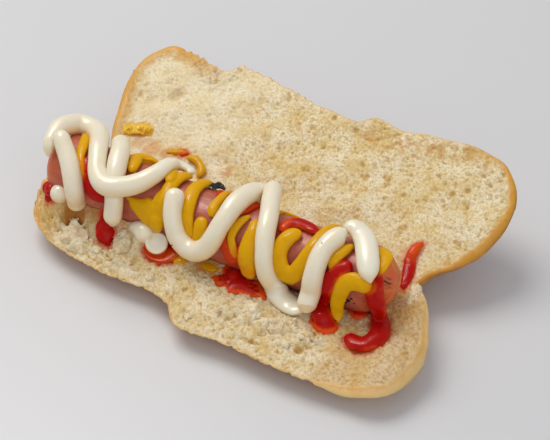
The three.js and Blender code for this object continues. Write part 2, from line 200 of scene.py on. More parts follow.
def meshFrom(name, points, quads, triangles=None, masks=None):
    # points in millimetres; the faces are turned round if the enclosed volume comes out negative
    triangles = np.zeros((0, 3), np.int64) if triangles is None else triangles
    split = np.concatenate([quads[:, [0, 1, 2]], quads[:, [0, 2, 3]], triangles])
    a, b, c = (points[split[:, k]] for k in range(3))
    if np.sum(a * np.cross(b, c)) < 0:
        quads, triangles = quads[:, ::-1], triangles[:, ::-1]
    corners = np.concatenate([quads.ravel(), triangles.ravel()])
    sizes = np.concatenate([np.full(len(quads), 4), np.full(len(triangles), 3)])
    mesh = bpy.data.meshes.new(name)
    mesh.vertices.add(len(points))
    mesh.vertices.foreach_set("co", (points * mm).ravel())
    mesh.loops.add(len(corners))
    mesh.loops.foreach_set("vertex_index", corners)
    mesh.polygons.add(len(sizes))
    mesh.polygons.foreach_set("loop_start", np.concatenate([[0], np.cumsum(sizes)[:-1]]))
    mesh.polygons.foreach_set("use_smooth", np.ones(len(sizes), bool))
    mesh.update(calc_edges=True)
    mesh.validate()
    for mask, values in (masks or {}).items():
        setMask(mesh, mask, values)
    return mesh


def skinFaces(count, around):
    # quads between neighbouring rings, and fans from the first and last ring to their poles
    i, j = np.meshgrid(np.arange(count - 1), np.arange(around), indexing="ij")
    k = (j + 1) % around
    quads = np.stack([i * around + j, i * around + k, (i + 1) * around + k, (i + 1) * around + j], -1)
    j = np.arange(around)
    k = (j + 1) % around
    first, last = count * around, count * around + 1
    back = (count - 1) * around
    front = np.stack([np.full(around, first), k, j], -1)
    rear = np.stack([np.full(around, last), back + j, back + k], -1)
    return quads.reshape(-1, 4), np.concatenate([front, rear])


def closeEnds(rings):
    # the rings as one list of points, followed by the middle of the first and of the last ring
    return np.concatenate([rings.reshape(-1, rings.shape[-1]), rings[:1].mean(1), rings[-1:].mean(1)])


def ringNormals(rings):
    # outward direction at each point: the cross product of the steps along and around
    along = np.gradient(rings, axis=0)
    around = np.roll(rings, -1, 1) - np.roll(rings, 1, 1)
    normal = np.cross(around, along)
    normal /= np.maximum(np.linalg.norm(normal, axis=-1, keepdims=True), 1e-9)
    outward = rings - rings.mean(1, keepdims=True)
    return normal * np.sign((normal * outward).sum())


def addPiece(name, mesh, material, nodes=()):
    piece = bpy.data.objects.new(name, mesh)
    bpy.context.scene.collection.objects.link(piece)
    if material:
        mesh.materials.append(material)
    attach(piece, "root")
    if nodes:
        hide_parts(*nodes)
    return piece


def fused(name, skins, voxel, smoothing):
    # closed skins run together by a voxel remesh and smoothed; returns the finished mesh
    points, quads, triangles, used = [], [], [], 0
    for rings in skins:
        q, t = skinFaces(*rings.shape[:2])
        points.append(closeEnds(rings))
        quads.append(q + used)
        triangles.append(t + used)
        used += len(points[-1])
    rough = meshFrom(name, np.concatenate(points), np.concatenate(quads), np.concatenate(triangles))
    carrier = bpy.data.objects.new(name, rough)
    bpy.context.scene.collection.objects.link(carrier)
    remesh = carrier.modifiers.new("remesh", "REMESH")
    remesh.mode = "VOXEL"
    remesh.voxel_size = voxel * mm
    remesh.use_smooth_shade = True
    smooth = carrier.modifiers.new("smooth", "SMOOTH")
    smooth.factor = 0.5
    smooth.iterations = smoothing
    shown = carrier.evaluated_get(bpy.context.evaluated_depsgraph_get())
    finished = bpy.data.meshes.new_from_object(shown)
    bpy.data.objects.remove(carrier)
    bpy.data.meshes.remove(rough)
    finished.name = name
    return finished


def pointsOf(mesh):
    points = np.empty(len(mesh.vertices) * 3)
    mesh.vertices.foreach_get("co", points)
    return points.reshape(-1, 3) / mm


def normalsOf(mesh):
    normals = np.empty(len(mesh.vertices) * 3)
    mesh.vertices.foreach_get("normal", normals)
    return normals.reshape(-1, 3)


def movePoints(mesh, points):
    mesh.vertices.foreach_set("co", (points * mm).ravel())
    mesh.update()


def setMask(mesh, mask, values):
    mesh.attributes.new(mask, "FLOAT", "POINT").data.foreach_set("value", values.astype(np.float32))


# camera, floor and light

view = {
    "target": (4.8, 35.1, 0.0),
    "azimuth": 30.0,
    "elevation": 38.0,
    "distance": 520.0,
    "lens": 92.6,
    "sensor": 36.0,
}


def setCamera():
    azimuth, elevation = np.radians(view["azimuth"]), np.radians(view["elevation"])
    back = Vector((
        np.sin(azimuth) * np.cos(elevation), -np.cos(azimuth) * np.cos(elevation), np.sin(elevation),
    ))
    camera = bpy.data.objects.new("camera", bpy.data.cameras.new("camera"))
    camera.data.lens = view["lens"]
    camera.data.sensor_width = view["sensor"]
    camera.data.clip_start = 0.01
    camera.location = (Vector(view["target"]) + back * view["distance"]) * mm
    camera.rotation_euler = back.to_track_quat("Z", "Y").to_euler()
    bpy.context.scene.collection.objects.link(camera)
    bpy.context.scene.camera = camera


studio = {
    "floorSize": 3.0,
    "floorColour": "#dcdcde",
    "floorRoughness": 0.35,
    # place, size, power and colour
    "lamps": {
        "key": ((-0.46, 0.19, 0.90), 0.75, 5.5, "#fffaf2"),  # above, to the left and a little behind
        "glint": ((-0.40, 0.02, 0.85), 0.3, 4.0, "#fffaf2"),  # small: crisp highlights on wet sauces
        "fill": ((0.75, -0.75, 0.55), 1.2, 3.2, "#f4f7ff"),
    },
    "skyColour": "#eef0f4",
    "skyStrength": 0.5,
}


def addLight(name, place, size, power, colour):
    lamp = bpy.data.lights.new(name, "AREA")
    lamp.shape = "DISK"
    lamp.size = size
    lamp.energy = power
    lamp.color = toLinear(colour)[:3]
    light = bpy.data.objects.new(name, lamp)
    light.location = place
    light.rotation_euler = (Vector(place) - Vector(view["target"]) * mm).to_track_quat("Z", "Y").to_euler()
    bpy.context.scene.collection.objects.link(light)
    return light


def setStudio():
    half = studio["floorSize"] / 2
    corners = np.array([[-half, -half, 0], [half, -half, 0], [half, half, 0], [-half, half, 0]]) / mm
    floorMesh = bpy.data.meshes.new("floor")
    floorMesh.from_pydata((corners * mm).tolist(), [], [(0, 1, 2, 3)])
    glaze = bpy.data.materials.new("glazed floor")
    glaze.use_nodes = True
    surface = glaze.node_tree.nodes["Principled BSDF"]
    surface.inputs["Base Color"].default_value = toLinear(studio["floorColour"])
    surface.inputs["Roughness"].default_value = studio["floorRoughness"]
    floorMesh.materials.append(glaze)
    floor = bpy.data.objects.new("floor", floorMesh)
    bpy.context.scene.collection.objects.link(floor)
    for name, lamp in studio["lamps"].items():
        light = addLight(name, *lamp)
        light.visible_diffuse = name != "glint"  # the small lamp shows in gloss alone
    sky = bpy.data.worlds.new("sky")
    bpy.context.scene.world = sky
    sky.use_nodes = True
    background = sky.node_tree.nodes["Background"]
    background.inputs["Color"].default_value = toLinear(studio["skyColour"])
    background.inputs["Strength"].default_value = studio["skyStrength"]
    bpy.context.scene.view_settings.view_transform = "Standard"


setCamera()
setStudio()
print("camera, floor and light set")

# sausage and bread forms that everything else lies on

sausage = {
    "radius": 11.5,
    "leftEnd": -66.0,
    "rightEnd": 71.0,
    "axisHeight": 20.5,
    "bow": 2.2,
    "lean": 1.2,
    "halfSpan": 70.0,
    "stationCount": 380,
    "around": 168,
    "tipLength": 7.0,
    "roundLength": 12.0,
    "leftRoundLength": 8.0,
    "folds": 7,
    "foldDepth": 0.16,
    "swell": 0.012,
    "swellLength": 9.0,
    # [along, up, half length, darkness] of the dark lines of painted shade in the gathers at the tied end
    "creaseShadeLines": [
        [0, 0, 2.2, 0.9], [0.9, 0.9, 1.5, 0.6], [-0.9, -0.2, 1.4, 0.5], [0.4, -1.3, 1.6, 0.4],
        [-1.6, 1.2, 1.2, 0.3],
    ],
}

nearHalf = {
    "outerEdge": [
        [-71, -4], [-69.5, -10], [-66, -15.5], [-58, -21.3], [-47, -25], [-26, -28], [0, -30],
        [4, -33.5], [8, -37.5], [25, -37.5], [49, -39], [68, -38.3], [79, -36.5], [85.5, -30],
        [88.2, -16],
    ],
    "hingeEdge": [
        [-71, -4], [-69, 3], [-62, 9], [-52, 14], [-30, 17], [0, 18], [40, 18], [62, 18],
        [70, 17], [75, 11], [80.5, 3.5], [84.6, -4.5], [88.2, -16],
    ],
    "crumbHeight": 13.0,
    "slopeStart": -2.0,
    "edgeDrop": 5.4,
    "edgePower": 1.6,
    "endRise": 2.5,
    "endRiseAbout": 8.0,
    "endRiseFrom": 60.0,
    "endRiseTo": 72.0,
    "depth": 14.0,
    "rimWidth": 1.5,
    "rimDrop": 0.9,
    "raggedness": 0.7,
    "bank": 7.2,
}

farHalf = {
    "outerEdge": [
        [-71, 46], [-70.2, 51.5], [-66.5, 58.5], [-61, 62], [-55, 61.8], [-49, 60.6], [-43, 58.5],
        [-38, 57], [-35, 57.2], [-31, 61.3], [-26.5, 61.2], [-22, 61], [-12, 59], [0, 56.3], [10, 55],
        [22, 53.5], [28, 57], [39, 56], [50, 57], [60, 57.8], [68, 58], [75, 57], [79.5, 55.3],
        [83.7, 51.6], [86.8, 47.6], [88.8, 42.6], [90, 34],
    ],
    "hingeEdge": [
        [-71, 46], [-70, 38], [-67.5, 29], [-63.5, 18], [-59, 8], [-53.5, -1], [-46, -5], [-20, -6],
        [40, -6], [64, -5], [70, -1.5], [74.5, 5.5], [80, 10.7], [84.6, 17], [87.7, 24.2], [90, 34],
    ],
    "tilt": np.radians(22),
    "foot": (14.0, 13.0),
    "depth": 24.0,
    "raggedness": 1.3,
    "notch": (-49, -45, -33, -29),
}

crumbWave = {"height": 0.7, "length": 23.0}

nearOuter, nearHinge = edgeCurve(nearHalf["outerEdge"]), edgeCurve(nearHalf["hingeEdge"])
farOuter, farHinge = edgeCurve(farHalf["outerEdge"]), edgeCurve(farHalf["hingeEdge"])


def axisHeight(x):
    share = x / sausage["halfSpan"]
    return sausage["axisHeight"] + sausage["bow"] * share ** 2 - sausage["lean"] * share


def wave(x, across):
    turn = 2 * np.pi / crumbWave["length"]
    return crumbWave["height"] * np.sin(x * turn) * np.cos((across + 0.3 * x) * turn)


def bank(x, y):
    # the crumb pressed up against the sausage on the left
    high = nearHalf["bank"] * smoothRise(x, -66, -57) * (1 - smoothRise(x, -22, -8))
    return high * smoothRise(y, -17.5, -10.5) * (1 - smoothRise(y, -4, 4))


def nearCrumb(x, y):
    # height over the floor: level by the sausage, falling as a power towards the outer edge
    edge = nearOuter(x)
    start = nearHalf["slopeStart"]
    share = np.clip((start - y) / (start - edge), 0, 1)
    curl = smoothRise(np.abs(x - nearHalf["endRiseAbout"]), nearHalf["endRiseFrom"], nearHalf["endRiseTo"])
    rim = nearHalf["rimDrop"] * (1 - smoothRise(y - edge, 0, nearHalf["rimWidth"]))
    fall = nearHalf["edgeDrop"] * share ** nearHalf["edgePower"] + rim
    return nearHalf["crumbHeight"] + nearHalf["endRise"] * curl - fall + wave(x, y) * (1 - share) + bank(x, y)


def onFarPlane(x, across, height):
    # from the far half's own tilted plane to the part's frame
    tilt, (footY, footZ) = farHalf["tilt"], farHalf["foot"]
    y = footY + across * np.cos(tilt) - height * np.sin(tilt)
    z = footZ + across * np.sin(tilt) + height * np.cos(tilt)
    return np.stack(np.broadcast_arrays(x, y, z), -1).astype(float)


# sauce routes

def onSausage(x, turn, extra=0.0, wide=1.0, flat=1.0):
    # turn is in degrees from the sausage's top, positive towards the near side
    angle = np.radians(turn)
    outward = np.array([0.0, -np.sin(angle), np.cos(angle)])
    place = outward * (sausage["radius"] + extra) + np.array([x, 0.0, axisHeight(x)])
    return np.array([*place, *outward, wide, flat])


def onNear(x, y, extra=0.0, wide=1.0, flat=1.0):
    return np.array([x, y, float(nearCrumb(x, y)) + extra, 0.0, 0.0, 1.0, wide, flat])


def onFar(x, across, extra=0.0, wide=1.0, flat=1.0):
    place = onFarPlane(x, across, float(wave(x, across)) + extra)
    outward = onFarPlane(0.0, 0.0, 1.0) - onFarPlane(0.0, 0.0, 0.0)
    return np.array([*place, *outward, wide, flat])


def knotsOn(surface, rows):
    return [surface(*row) for row in rows]


ketchup = {"halfWidth": 2.2, "halfHeight": 1.3, "lift": 0.8, "unevenness": 0.22, "uneven": 3.2}
mustard = {"halfWidth": 2.5, "halfHeight": 1.5, "lift": 1.1, "unevenness": 0.14, "uneven": 4.0}
mayonnaise = {"halfWidth": 3.3, "halfHeight": 3.2, "lift": 3.0, "unevenness": 0.06, "uneven": 8.0}
strandStep = 0.5  # spacing of the rings along a strand
pileUp = 0.62  # how much of both thicknesses is kept where one strand crosses another


def curveThrough(knots, perSpan=24):
    # centripetal cubic through the knots: each span weighs as the square root of its length
    p = np.vstack([2 * knots[0] - knots[1], knots, 2 * knots[-1] - knots[-2]])
    span = np.sqrt(np.linalg.norm(np.diff(p[:, :3], axis=0), axis=1))[:, None]
    a, b, c, d = p[:-3], p[1:-2], p[2:-1], p[3:]
    s0, s1, s2 = span[:-2], span[1:-1], span[2:]
    leave = ((b - a) / s0 - (c - a) / (s0 + s1) + (c - b) / s1) * s1
    arrive = ((c - b) / s1 - (d - b) / (s1 + s2) + (d - c) / s2) * s1
    t = np.linspace(0, 1, perSpan, endpoint=False)[None, :, None]
    blend = (
        (2 * t ** 3 - 3 * t ** 2 + 1) * b[:, None] + (t ** 3 - 2 * t ** 2 + t) * leave[:, None]
        + (3 * t ** 2 - 2 * t ** 3) * c[:, None] + (t ** 3 - t ** 2) * arrive[:, None]
    )
    return np.vstack([blend.reshape(-1, p.shape[1]), knots[-1:]])


def layStrand(sauce, route, earlier):
    # centre points at even steps, lifted over the strands laid before as a viscous rope would be
    knots = np.array(route)
    knots[:, :3] += knots[:, 3:6] * sauce["lift"] * knots[:, 7:]
    fine = curveThrough(knots)
    run = np.concatenate([[0], np.cumsum(np.linalg.norm(np.diff(fine[:, :3], axis=0), axis=1))])
    length = run[-1]
    distance = stations(length, max(12, int(length / strandStep)), min(sauce["halfWidth"], 0.4 * length))
    table = np.stack([np.interp(distance, run, column) for column in fine.T], -1)
    points, outward, wide, flat = table[:, :3], table[:, 3:6], table[:, 6], table[:, 7]
    outward = outward / np.linalg.norm(outward, axis=1, keepdims=True)
    halfWidth, halfHeight = sauce["halfWidth"] * wide, sauce["halfHeight"] * wide * flat
    if len(earlier):
        away = points[:, None] - earlier[None, :, :3]
        height = (away * outward[:, None]).sum(-1)
        aside = np.linalg.norm(away - height[..., None] * outward[:, None], axis=-1)
        aside /= halfWidth[:, None] + earlier[None, :, 3]
        both = halfHeight[:, None] + earlier[None, :, 4]
        crosses = (aside < 1) & (np.abs(height) < both)
        arch = pileUp * both * np.sqrt(np.clip(1 - aside ** 2, 0, 1)) - height
        lift = np.where(crosses, arch, 0).max(1).clip(0)
        reach = np.exp(-0.5 * (np.arange(-16, 17) / 6.0) ** 2)
        lift = np.convolve(np.pad(lift, 16, mode="edge"), reach / reach.sum(), mode="valid")
        points = points + outward * lift[:, None]
    end = np.minimum(distance, length - distance)
    fullness = np.sqrt(1 - (1 - np.clip(end / sauce["halfWidth"], 0, 1)) ** 2)
    return {"points": points, "outward": outward, "wide": halfWidth * fullness, "high": halfHeight * fullness}


def strandRings(sauce, strand, around=26, salt=3):
    # an ellipse carried along the points, standing on their outward direction, with an uneven skin
    points = strand["points"]
    along = np.gradient(points, axis=0)
    along /= np.linalg.norm(along, axis=1, keepdims=True)
    side = np.cross(strand["outward"], along)
    side /= np.linalg.norm(side, axis=1, keepdims=True)
    up = np.cross(along, side)
    angle = np.linspace(0, 2 * np.pi, around, endpoint=False)
    across = strand["wide"][:, None] * np.cos(angle)
    high = strand["high"][:, None] * np.sin(angle)
    rings = points[:, None] + side[:, None] * across[..., None] + up[:, None] * high[..., None]
    uneven = 1 + sauce["unevenness"] / 2 * softNoise(rings.reshape(-1, 3), sauce["uneven"], salt)
    return points[:, None] + (rings - points[:, None]) * uneven.reshape(rings.shape[:2])[..., None]


# The sauces in the order in which they are laid. Some strands have no solid of their own and are
# only drawn with the piece that is named: the second of ketchup_middle and of mustard_middle, the
# second and third of mustard_right, and the last of mustard_swath, which lies on the far half.
strands = [
    ("ketchup_left", ketchup, [
        knotsOn(onSausage, [
            [-48.5, 22, 0, 0.9], [-46, 41], [-43.5, 59, 0, 1.1], [-40.5, 72, 0, 1.2], [-35.5, 72, 0, 1.0],
            [-34, 84, 0, 0.9],
        ]) + knotsOn(onNear, [
            [-34.2, -12.8, 0, 1.0], [-35, -14.3, 0.4, 1.4], [-33.6, -16, 0.6, 1.6], [-32, -18.2, 0, 1.0],
        ]),
    ]),
    ("ketchup_under_curl", ketchup, [
        knotsOn(onNear, [
            [-18, -15, -0.4, 0.7, 0.4], [-14.5, -15.6, -0.5, 1.1, 0.4], [-10.5, -14.6, -0.4, 1.3, 0.45],
            [-8.5, -12, 0, 1.4, 0.6], [-9.5, -9.5, 0.1, 1.0, 0.7],
        ]),
    ]),
    ("ketchup_middle", ketchup, [
        knotsOn(onSausage, [
            [16.5, -29, 0, 0.6], [15, -1, 0, 0.8], [12.5, 17.5, 0, 0.9], [11.5, 36.5, 0, 0.85],
            [11, 55, 0, 0.75], [12, 70, 0, 0.8], [14.5, 85.5], [16, 103, 0, 1.3],
        ]),
        knotsOn(onSausage, [
            [17, 68, -0.5, 0.8, 0.7], [19.5, 81, -0.4, 1.4, 0.7], [22.5, 93, -0.4, 1.8, 0.7],
            [25.5, 104, -0.3, 1.5, 0.7],
        ]),
    ]),
    ("ketchup_arch", ketchup, [
        knotsOn(onSausage, [
            [29.5, 22, 0, 0.75], [30.5, 6, 0, 0.95], [33, -6, 0, 1.15], [36.5, -6, 0, 1.05],
            [39.5, -2, 0, 0.85], [42.5, -2, 0, 0.4],
        ]),
    ]),
    ("ketchup_right_stripe", ketchup, [
        knotsOn(onSausage, [
            [57, 32], [55, 48, 0, 1.3], [53, 64, 0, 1.5], [51.5, 82, 0, 1.5],
        ]) + knotsOn(onNear, [
            [49.5, -10, 1.6, 1.5], [50.5, -13, 0.9, 1.6], [52.5, -16, 0.6, 1.7], [55, -18, 0.2, 1.3],
        ]),
    ]),
    ("ketchup_hook", ketchup, [
        knotsOn(onSausage, [
            [66.5, 33, 0, 0.7], [67.5, 50, 0, 1.1], [68, 66, 0, 1.4], [69, 85, -0.6, 1.5],
        ]) + knotsOn(onNear, [
            [68.5, -8, 0.5, 1.3], [70.5, -11, 0.4, 1.45], [72, -15, 0.4, 1.5], [71, -18.5, 0.4, 1.4],
            [68.5, -20.5, 0.4, 1.4], [65, -20, 0.4, 1.3], [63, -18, 0.4],
        ]),
    ]),
    ("ketchup_far_streak", ketchup, [
        knotsOn(onFar, [
            [67, 15.5, 0, 0.35], [65.5, 11.5, 0, 0.8], [65.5, 8, 0, 0.85], [66.5, 4.5], [67.5, 0.5, 0, 0.8],
            [68.5, -5, 0, 0.4],
        ]),
    ]),
    ("mustard_left", mustard, [
        knotsOn(onSausage, [
            [-58.5, -50, 0, 0.6], [-56.5, -33, 0, 0.7], [-54, -15, 0, 0.75], [-51.5, 10, 0, 0.8],
            [-50, 25, 0, 0.65], [-47.5, 41, 0, 0.5], [-45.5, 55, 0, 0.4],
        ]),
    ]),
    ("mustard_back", mustard, [
        knotsOn(onSausage, [
            [-30, 17, 0, 0.7], [-31.5, -4, 0, 0.9], [-33.5, -29, 0, 0.9], [-31, -37, 0.6, 0.8],
            [-28, -37, 0.4, 0.6], [-25.5, -38, 0.3, 0.4],
        ]),
    ]),
    ("mustard_swath", mustard, [
        knotsOn(onSausage, [
            [-26.5, 60, 0, 0.6, 0.6], [-22, 66, 0, 1.1, 0.6], [-18, 72, 0, 1.5, 0.6],
            [-15, 72, 0, 1.6, 0.6], [-14, 56, 0, 1.4, 0.7], [-13.5, 40, 0, 1.1], [-14, 18],
            [-14, -6, 0, 0.9], [-13.5, -25, 0, 0.9], [-12, -35, 0.1, 0.8],
        ]),
        knotsOn(onSausage, [
            [-16, 93, 0, 0.9, 0.6], [-14.5, 82, 0, 1.2, 0.6], [-14, 66, 0, 1.2, 0.6],
        ]),
        knotsOn(onSausage, [
            [-14.5, 13, 0, 0.8], [-17, -10, 0, 0.8], [-20, -35, 0.7, 0.7],
        ]),
        knotsOn(onFar, [
            [-29, 16.5, 0, 0.4], [-25, 16.5, 0.3, 0.6], [-22.5, 15.3, 0.4, 0.6], [-20.7, 13.3, 0.3, 0.65],
            [-20.5, 10, 0, 0.5],
        ]),
    ]),
    ("mustard_bend", mustard, [
        knotsOn(onSausage, [
            [-4.5, -35, 0.7, 0.7], [-6, -15, 0, 0.95], [-6, 7], [-5, 25], [-4, 44], [-2.5, 61, 0, 0.9],
            [-1, 75, 0, 0.7], [0, 84, 0, 0.5],
        ]),
    ]),
    ("mustard_short", mustard, [
        knotsOn(onSausage, [
            [2, 42, 0, 0.95], [2.5, 59], [2.5, 76, 0, 0.85], [1.5, 93, 0, 0.7],
        ]),
    ]),
    ("mustard_middle", mustard, [
        knotsOn(onSausage, [
            [17.5, 13, 0, 0.4], [15.5, 28.5, 0, 0.6], [14.5, 44, 0, 0.65], [14.5, 57.5, 0, 0.6],
            [16, 70.5, 0, 0.6], [17.5, 85, 0, 0.45],
        ]),
        knotsOn(onSausage, [
            [4.5, -38, 0, 0.35], [4, -17.5, 0, 0.5], [4.2, 4.5, 0, 0.65], [4.2, 21, 0, 0.75],
            [5, 38.5, 0, 0.75],
        ]),
    ]),
    ("mustard_drop", mustard, [
        knotsOn(onSausage, [
            [20, 16, 0, 0.6], [21, 39, 0, 0.95], [21.5, 59, 0, 1.2], [22, 79, 0, 1.3], [23, 96, 0, 1.15],
        ]) + knotsOn(onNear, [
            [23, -13, 1.2, 0.7],
        ]),
    ]),
    ("mustard_bowl", mustard, [
        knotsOn(onSausage, [
            [36.5, 11, 0, 0.85], [33.8, 25, 0, 1.1], [32.5, 41, 0, 1.15], [32.6, 58, 0, 1.2],
            [34.2, 74, 0, 1.25], [36.8, 83, 0, 1.25], [39.5, 76, 0, 1.2], [41, 61, 0, 1.05],
            [42, 43, 0, 0.95], [43, 24, 0, 0.9], [43.5, 5, 0, 0.9], [44.5, -14, 0.3, 0.9],
            [46.5, -31, 0.8, 0.85],
        ]),
    ]),
    ("mustard_right", mustard, [
        knotsOn(onSausage, [
            [67, 58], [63, 57, 0, 1.1], [60, 58, 0, 1.2], [58, 64, 0, 1.2], [57, 76, 0, 1.1], [56, 96],
        ]) + knotsOn(onNear, [
            [56.5, -14, 1.2, 0.8], [58, -16, 0.6, 0.5],
        ]),
        knotsOn(onSausage, [
            [61.5, -10, 0, 0.7, 0.7], [65, -3, 0, 0.9, 0.6], [66.8, 8, 0, 0.9, 0.6],
            [67.3, 22, 0, 0.7, 0.6], [67.8, 37, 0, 0.45, 0.6],
        ]),
        knotsOn(onSausage, [
            [55, 4, 0.3, 0.5], [53.5, 14, 0, 0.75], [52.3, 27, 0, 0.8], [51.5, 40, 0, 0.7],
            [51.2, 52, 0, 0.4],
        ]),
    ]),
    ("mustard_far_blob", mustard, [
        knotsOn(onFar, [
            [-58, 19.8, 0, 0.6, 0.5], [-55, 20.4, 0, 0.7, 0.5], [-51, 21.6, 0, 0.7, 0.5],
            [-48, 22.4, 0, 0.6, 0.5],
        ]),
    ]),
    ("mayo_loop", mayonnaise, [
        knotsOn(onSausage, [
            [-43.5, -38, 0.9, 0.95], [-38.5, -10, 0, 1.05], [-35.5, 14, 0, 1.08], [-33.5, 33, 0, 1.03],
            [-32, 51], [-30.8, 68], [-30.5, 84], [-30.4, 100, 0, 0.97],
        ]),
        knotsOn(onSausage, [
            [-61.2, 47, 0, 0.3, 0.6], [-62, 31, 0, 0.7], [-62.5, 16, 0, 0.95], [-63, -2.5, 0, 1.1],
            [-62.5, -18, 0, 1.15], [-61.5, -35, 0.4, 1.2], [-58.5, -40, 0.9, 1.2], [-54.5, -38, 0.9, 1.15],
            [-50.3, -26, 0, 1.1], [-45, 6, 0, 1.03], [-42.5, 23], [-40, 38], [-36, 48, 0, 1.08],
            [-31.5, 49.5, 0, 1.12], [-27, 43, 0, 1.1], [-24, 32.5, 0, 1.08], [-21.5, 18],
            [-20, 2, 0, 0.95, 0.9], [-19.7, -18, 0, 0.85, 0.85], [-19.5, -36, 0.2, 0.75, 0.8],
            [-16.5, -41, 0.8, 0.65, 0.75], [-13.8, -39, 0.4, 0.55, 0.75], [-13, -28, 0, 0.3, 0.8],
        ]),
        knotsOn(onSausage, [
            [-60, 10, 0, 0.8], [-57, 21, 0, 0.95], [-53.5, 34], [-50.5, 48, 0, 1.03], [-48, 66, 0, 1.05],
            [-47, 80, 0, 1.05],
        ]) + knotsOn(onNear, [
            [-48, -12.6, 0, 1.05], [-46.8, -14.2, -0.3, 1.03],
        ]),
    ]),
    ("mayo_curl", mayonnaise, [
        knotsOn(onNear, [
            [-26, -12.8, -3.2, 0.4], [-23, -12.6, -2.9, 0.75], [-19.8, -13, -2.4, 1.08],
            [-16.2, -14, -2, 1.2],
        ]),
    ]),
    ("mayo_zigzag", mayonnaise, [
        knotsOn(onSausage, [
            [-10, 20, 0, 1.05], [-9, 37, 0, 1.03], [-8, 53], [-6.4, 68], [-4.5, 82, 0, 1.05],
            [-1, 92, 0, 1.1], [3, 92, 0, 1.1], [6.7, 82, 0, 1.08], [8.8, 67, 0, 1.05], [10, 50],
            [11, 33, 0, 1.03], [11.5, 13, 0, 1.1], [12, -11, 0, 1.12], [12.5, -34, 0.6, 1.1],
            [14.5, -40, 1.0, 1.05], [18, -40, 0.6, 0.8, 0.9],
        ]),
        knotsOn(onSausage, [
            [15, -38, 0.6, 0.7], [18, -36, 0.6, 0.95], [21.3, -14, 0, 1.0], [24.7, 15], [26.5, 37],
            [28, 56, 0, 0.95], [29, 72, 0, 0.95], [30.3, 89, 0, 1.0, 0.95], [32, 105, 0, 1.1, 0.85],
        ]) + knotsOn(onNear, [
            [35.5, -14.6, -0.4, 1.2, 0.7], [39, -15.4, -0.6, 1.25, 0.55], [42.5, -16.4, -0.6, 1.2, 0.5],
            [46, -17.5, -0.4, 1.0, 0.5],
        ]),
        knotsOn(onNear, [
            [47.6, -19.3, -0.5, 0.95], [47, -17.5, 1.2],
        ]) + knotsOn(onSausage, [
            [46.9, 90, 0, 1.03], [47, 73, 0, 1.05], [47, 58, 0, 1.03], [47, 42.5, 0, 1.03], [47.4, 27.5],
            [48.6, 12.5, 0, 1.05], [50, 1, 0, 0.95], [51.6, -5, -0.5, 0.75],
        ]),
        knotsOn(onSausage, [
            [49.6, -7, 0, 0.75, 0.9], [52.6, -12.5, 0.2, 1.0, 0.85], [55.8, -10.5, 0.4, 1.1, 0.8],
            [58.7, 1, 0.6, 1.12, 0.8], [61.5, 18, 0.6, 1.15, 0.8], [63.6, 33, 0.6, 1.12, 0.8],
            [65.4, 44.5, 0.4, 0.8, 0.9], [66.8, 52, 0.2, 0.25],
        ]),
    ]),
]
# strands of mayonnaise that run into one another; the others keep a crease between them
joined = {"mayo_zigzag": [[0], [1, 2], [3]], "mayo_loop": [[0], [1], [2]], "mayo_curl": [[0]]}


def overNear(a, b, height):
    return np.stack([a, b, nearCrumb(a, b) + height], -1)


def overFar(a, b, height):
    return onFarPlane(a, b, wave(a, b) + height)


def overSausage(a, b, height):
    turn = np.radians(b)
    radius = sausage["radius"] + height
    return np.stack([a, -radius * np.sin(turn), axisHeight(a) + radius * np.cos(turn)], -1)


def patch(surface, outline, height, sink=0.8, rings=14, perSpan=6):
    # a lens of sauce on a surface: a smooth closed curve through the outline, drawn in towards
    # its middle; the top is height * (1 - r^2)^0.6 and the underside lies sink below
    b = np.array(outline, float)
    a, c, d = np.roll(b, 1, 0), np.roll(b, -1, 0), np.roll(b, -2, 0)
    t = np.linspace(0, 1, perSpan, endpoint=False)[None, :, None]
    a, b, c, d = (corner[:, None] for corner in (a, b, c, d))
    cubic = 3 * b - a - 3 * c + d
    edge = 0.5 * (2 * b + (c - a) * t + (2 * a - 5 * b + 4 * c - d) * t ** 2 + cubic * t ** 3)
    edge = edge.reshape(-1, 2)
    middle = edge.mean(0)
    r = np.linspace(0.04, 1, rings)
    top = height * (1 - r ** 2) ** 0.6
    r = np.concatenate([r, r[::-1][1:]])[:, None, None]
    high = np.concatenate([top, np.full(rings - 1, -sink)])[:, None]
    flat = middle + (edge - middle) * r
    return surface(flat[..., 0], flat[..., 1], np.broadcast_to(high, flat.shape[:2]))


def cutDisc(centre, axis, profile, around=40):
    # the cut end of the curl, turned about its axis: profile holds [distance along it, radius]
    axis = np.array(axis) / np.linalg.norm(axis)
    side = np.cross(axis, [0.0, 0.0, 1.0])
    side /= np.linalg.norm(side)
    up = np.cross(side, axis)
    u = np.linspace(0, 2 * np.pi, around, endpoint=False)[None, :, None]
    along, radius = (np.array(profile)[:, k, None, None] for k in range(2))
    return centre + along * axis + radius * (np.cos(u) * side + np.sin(u) * up)


def dab(radius):
    # the outline of a round drop: half an ellipse over a longer foot
    turns = np.radians([4, 20, 40, 60, 80, 100, 125, 150, 172])
    return [[0.95 * radius * np.cos(turn) - 0.3, radius * np.sin(turn)] for turn in turns]


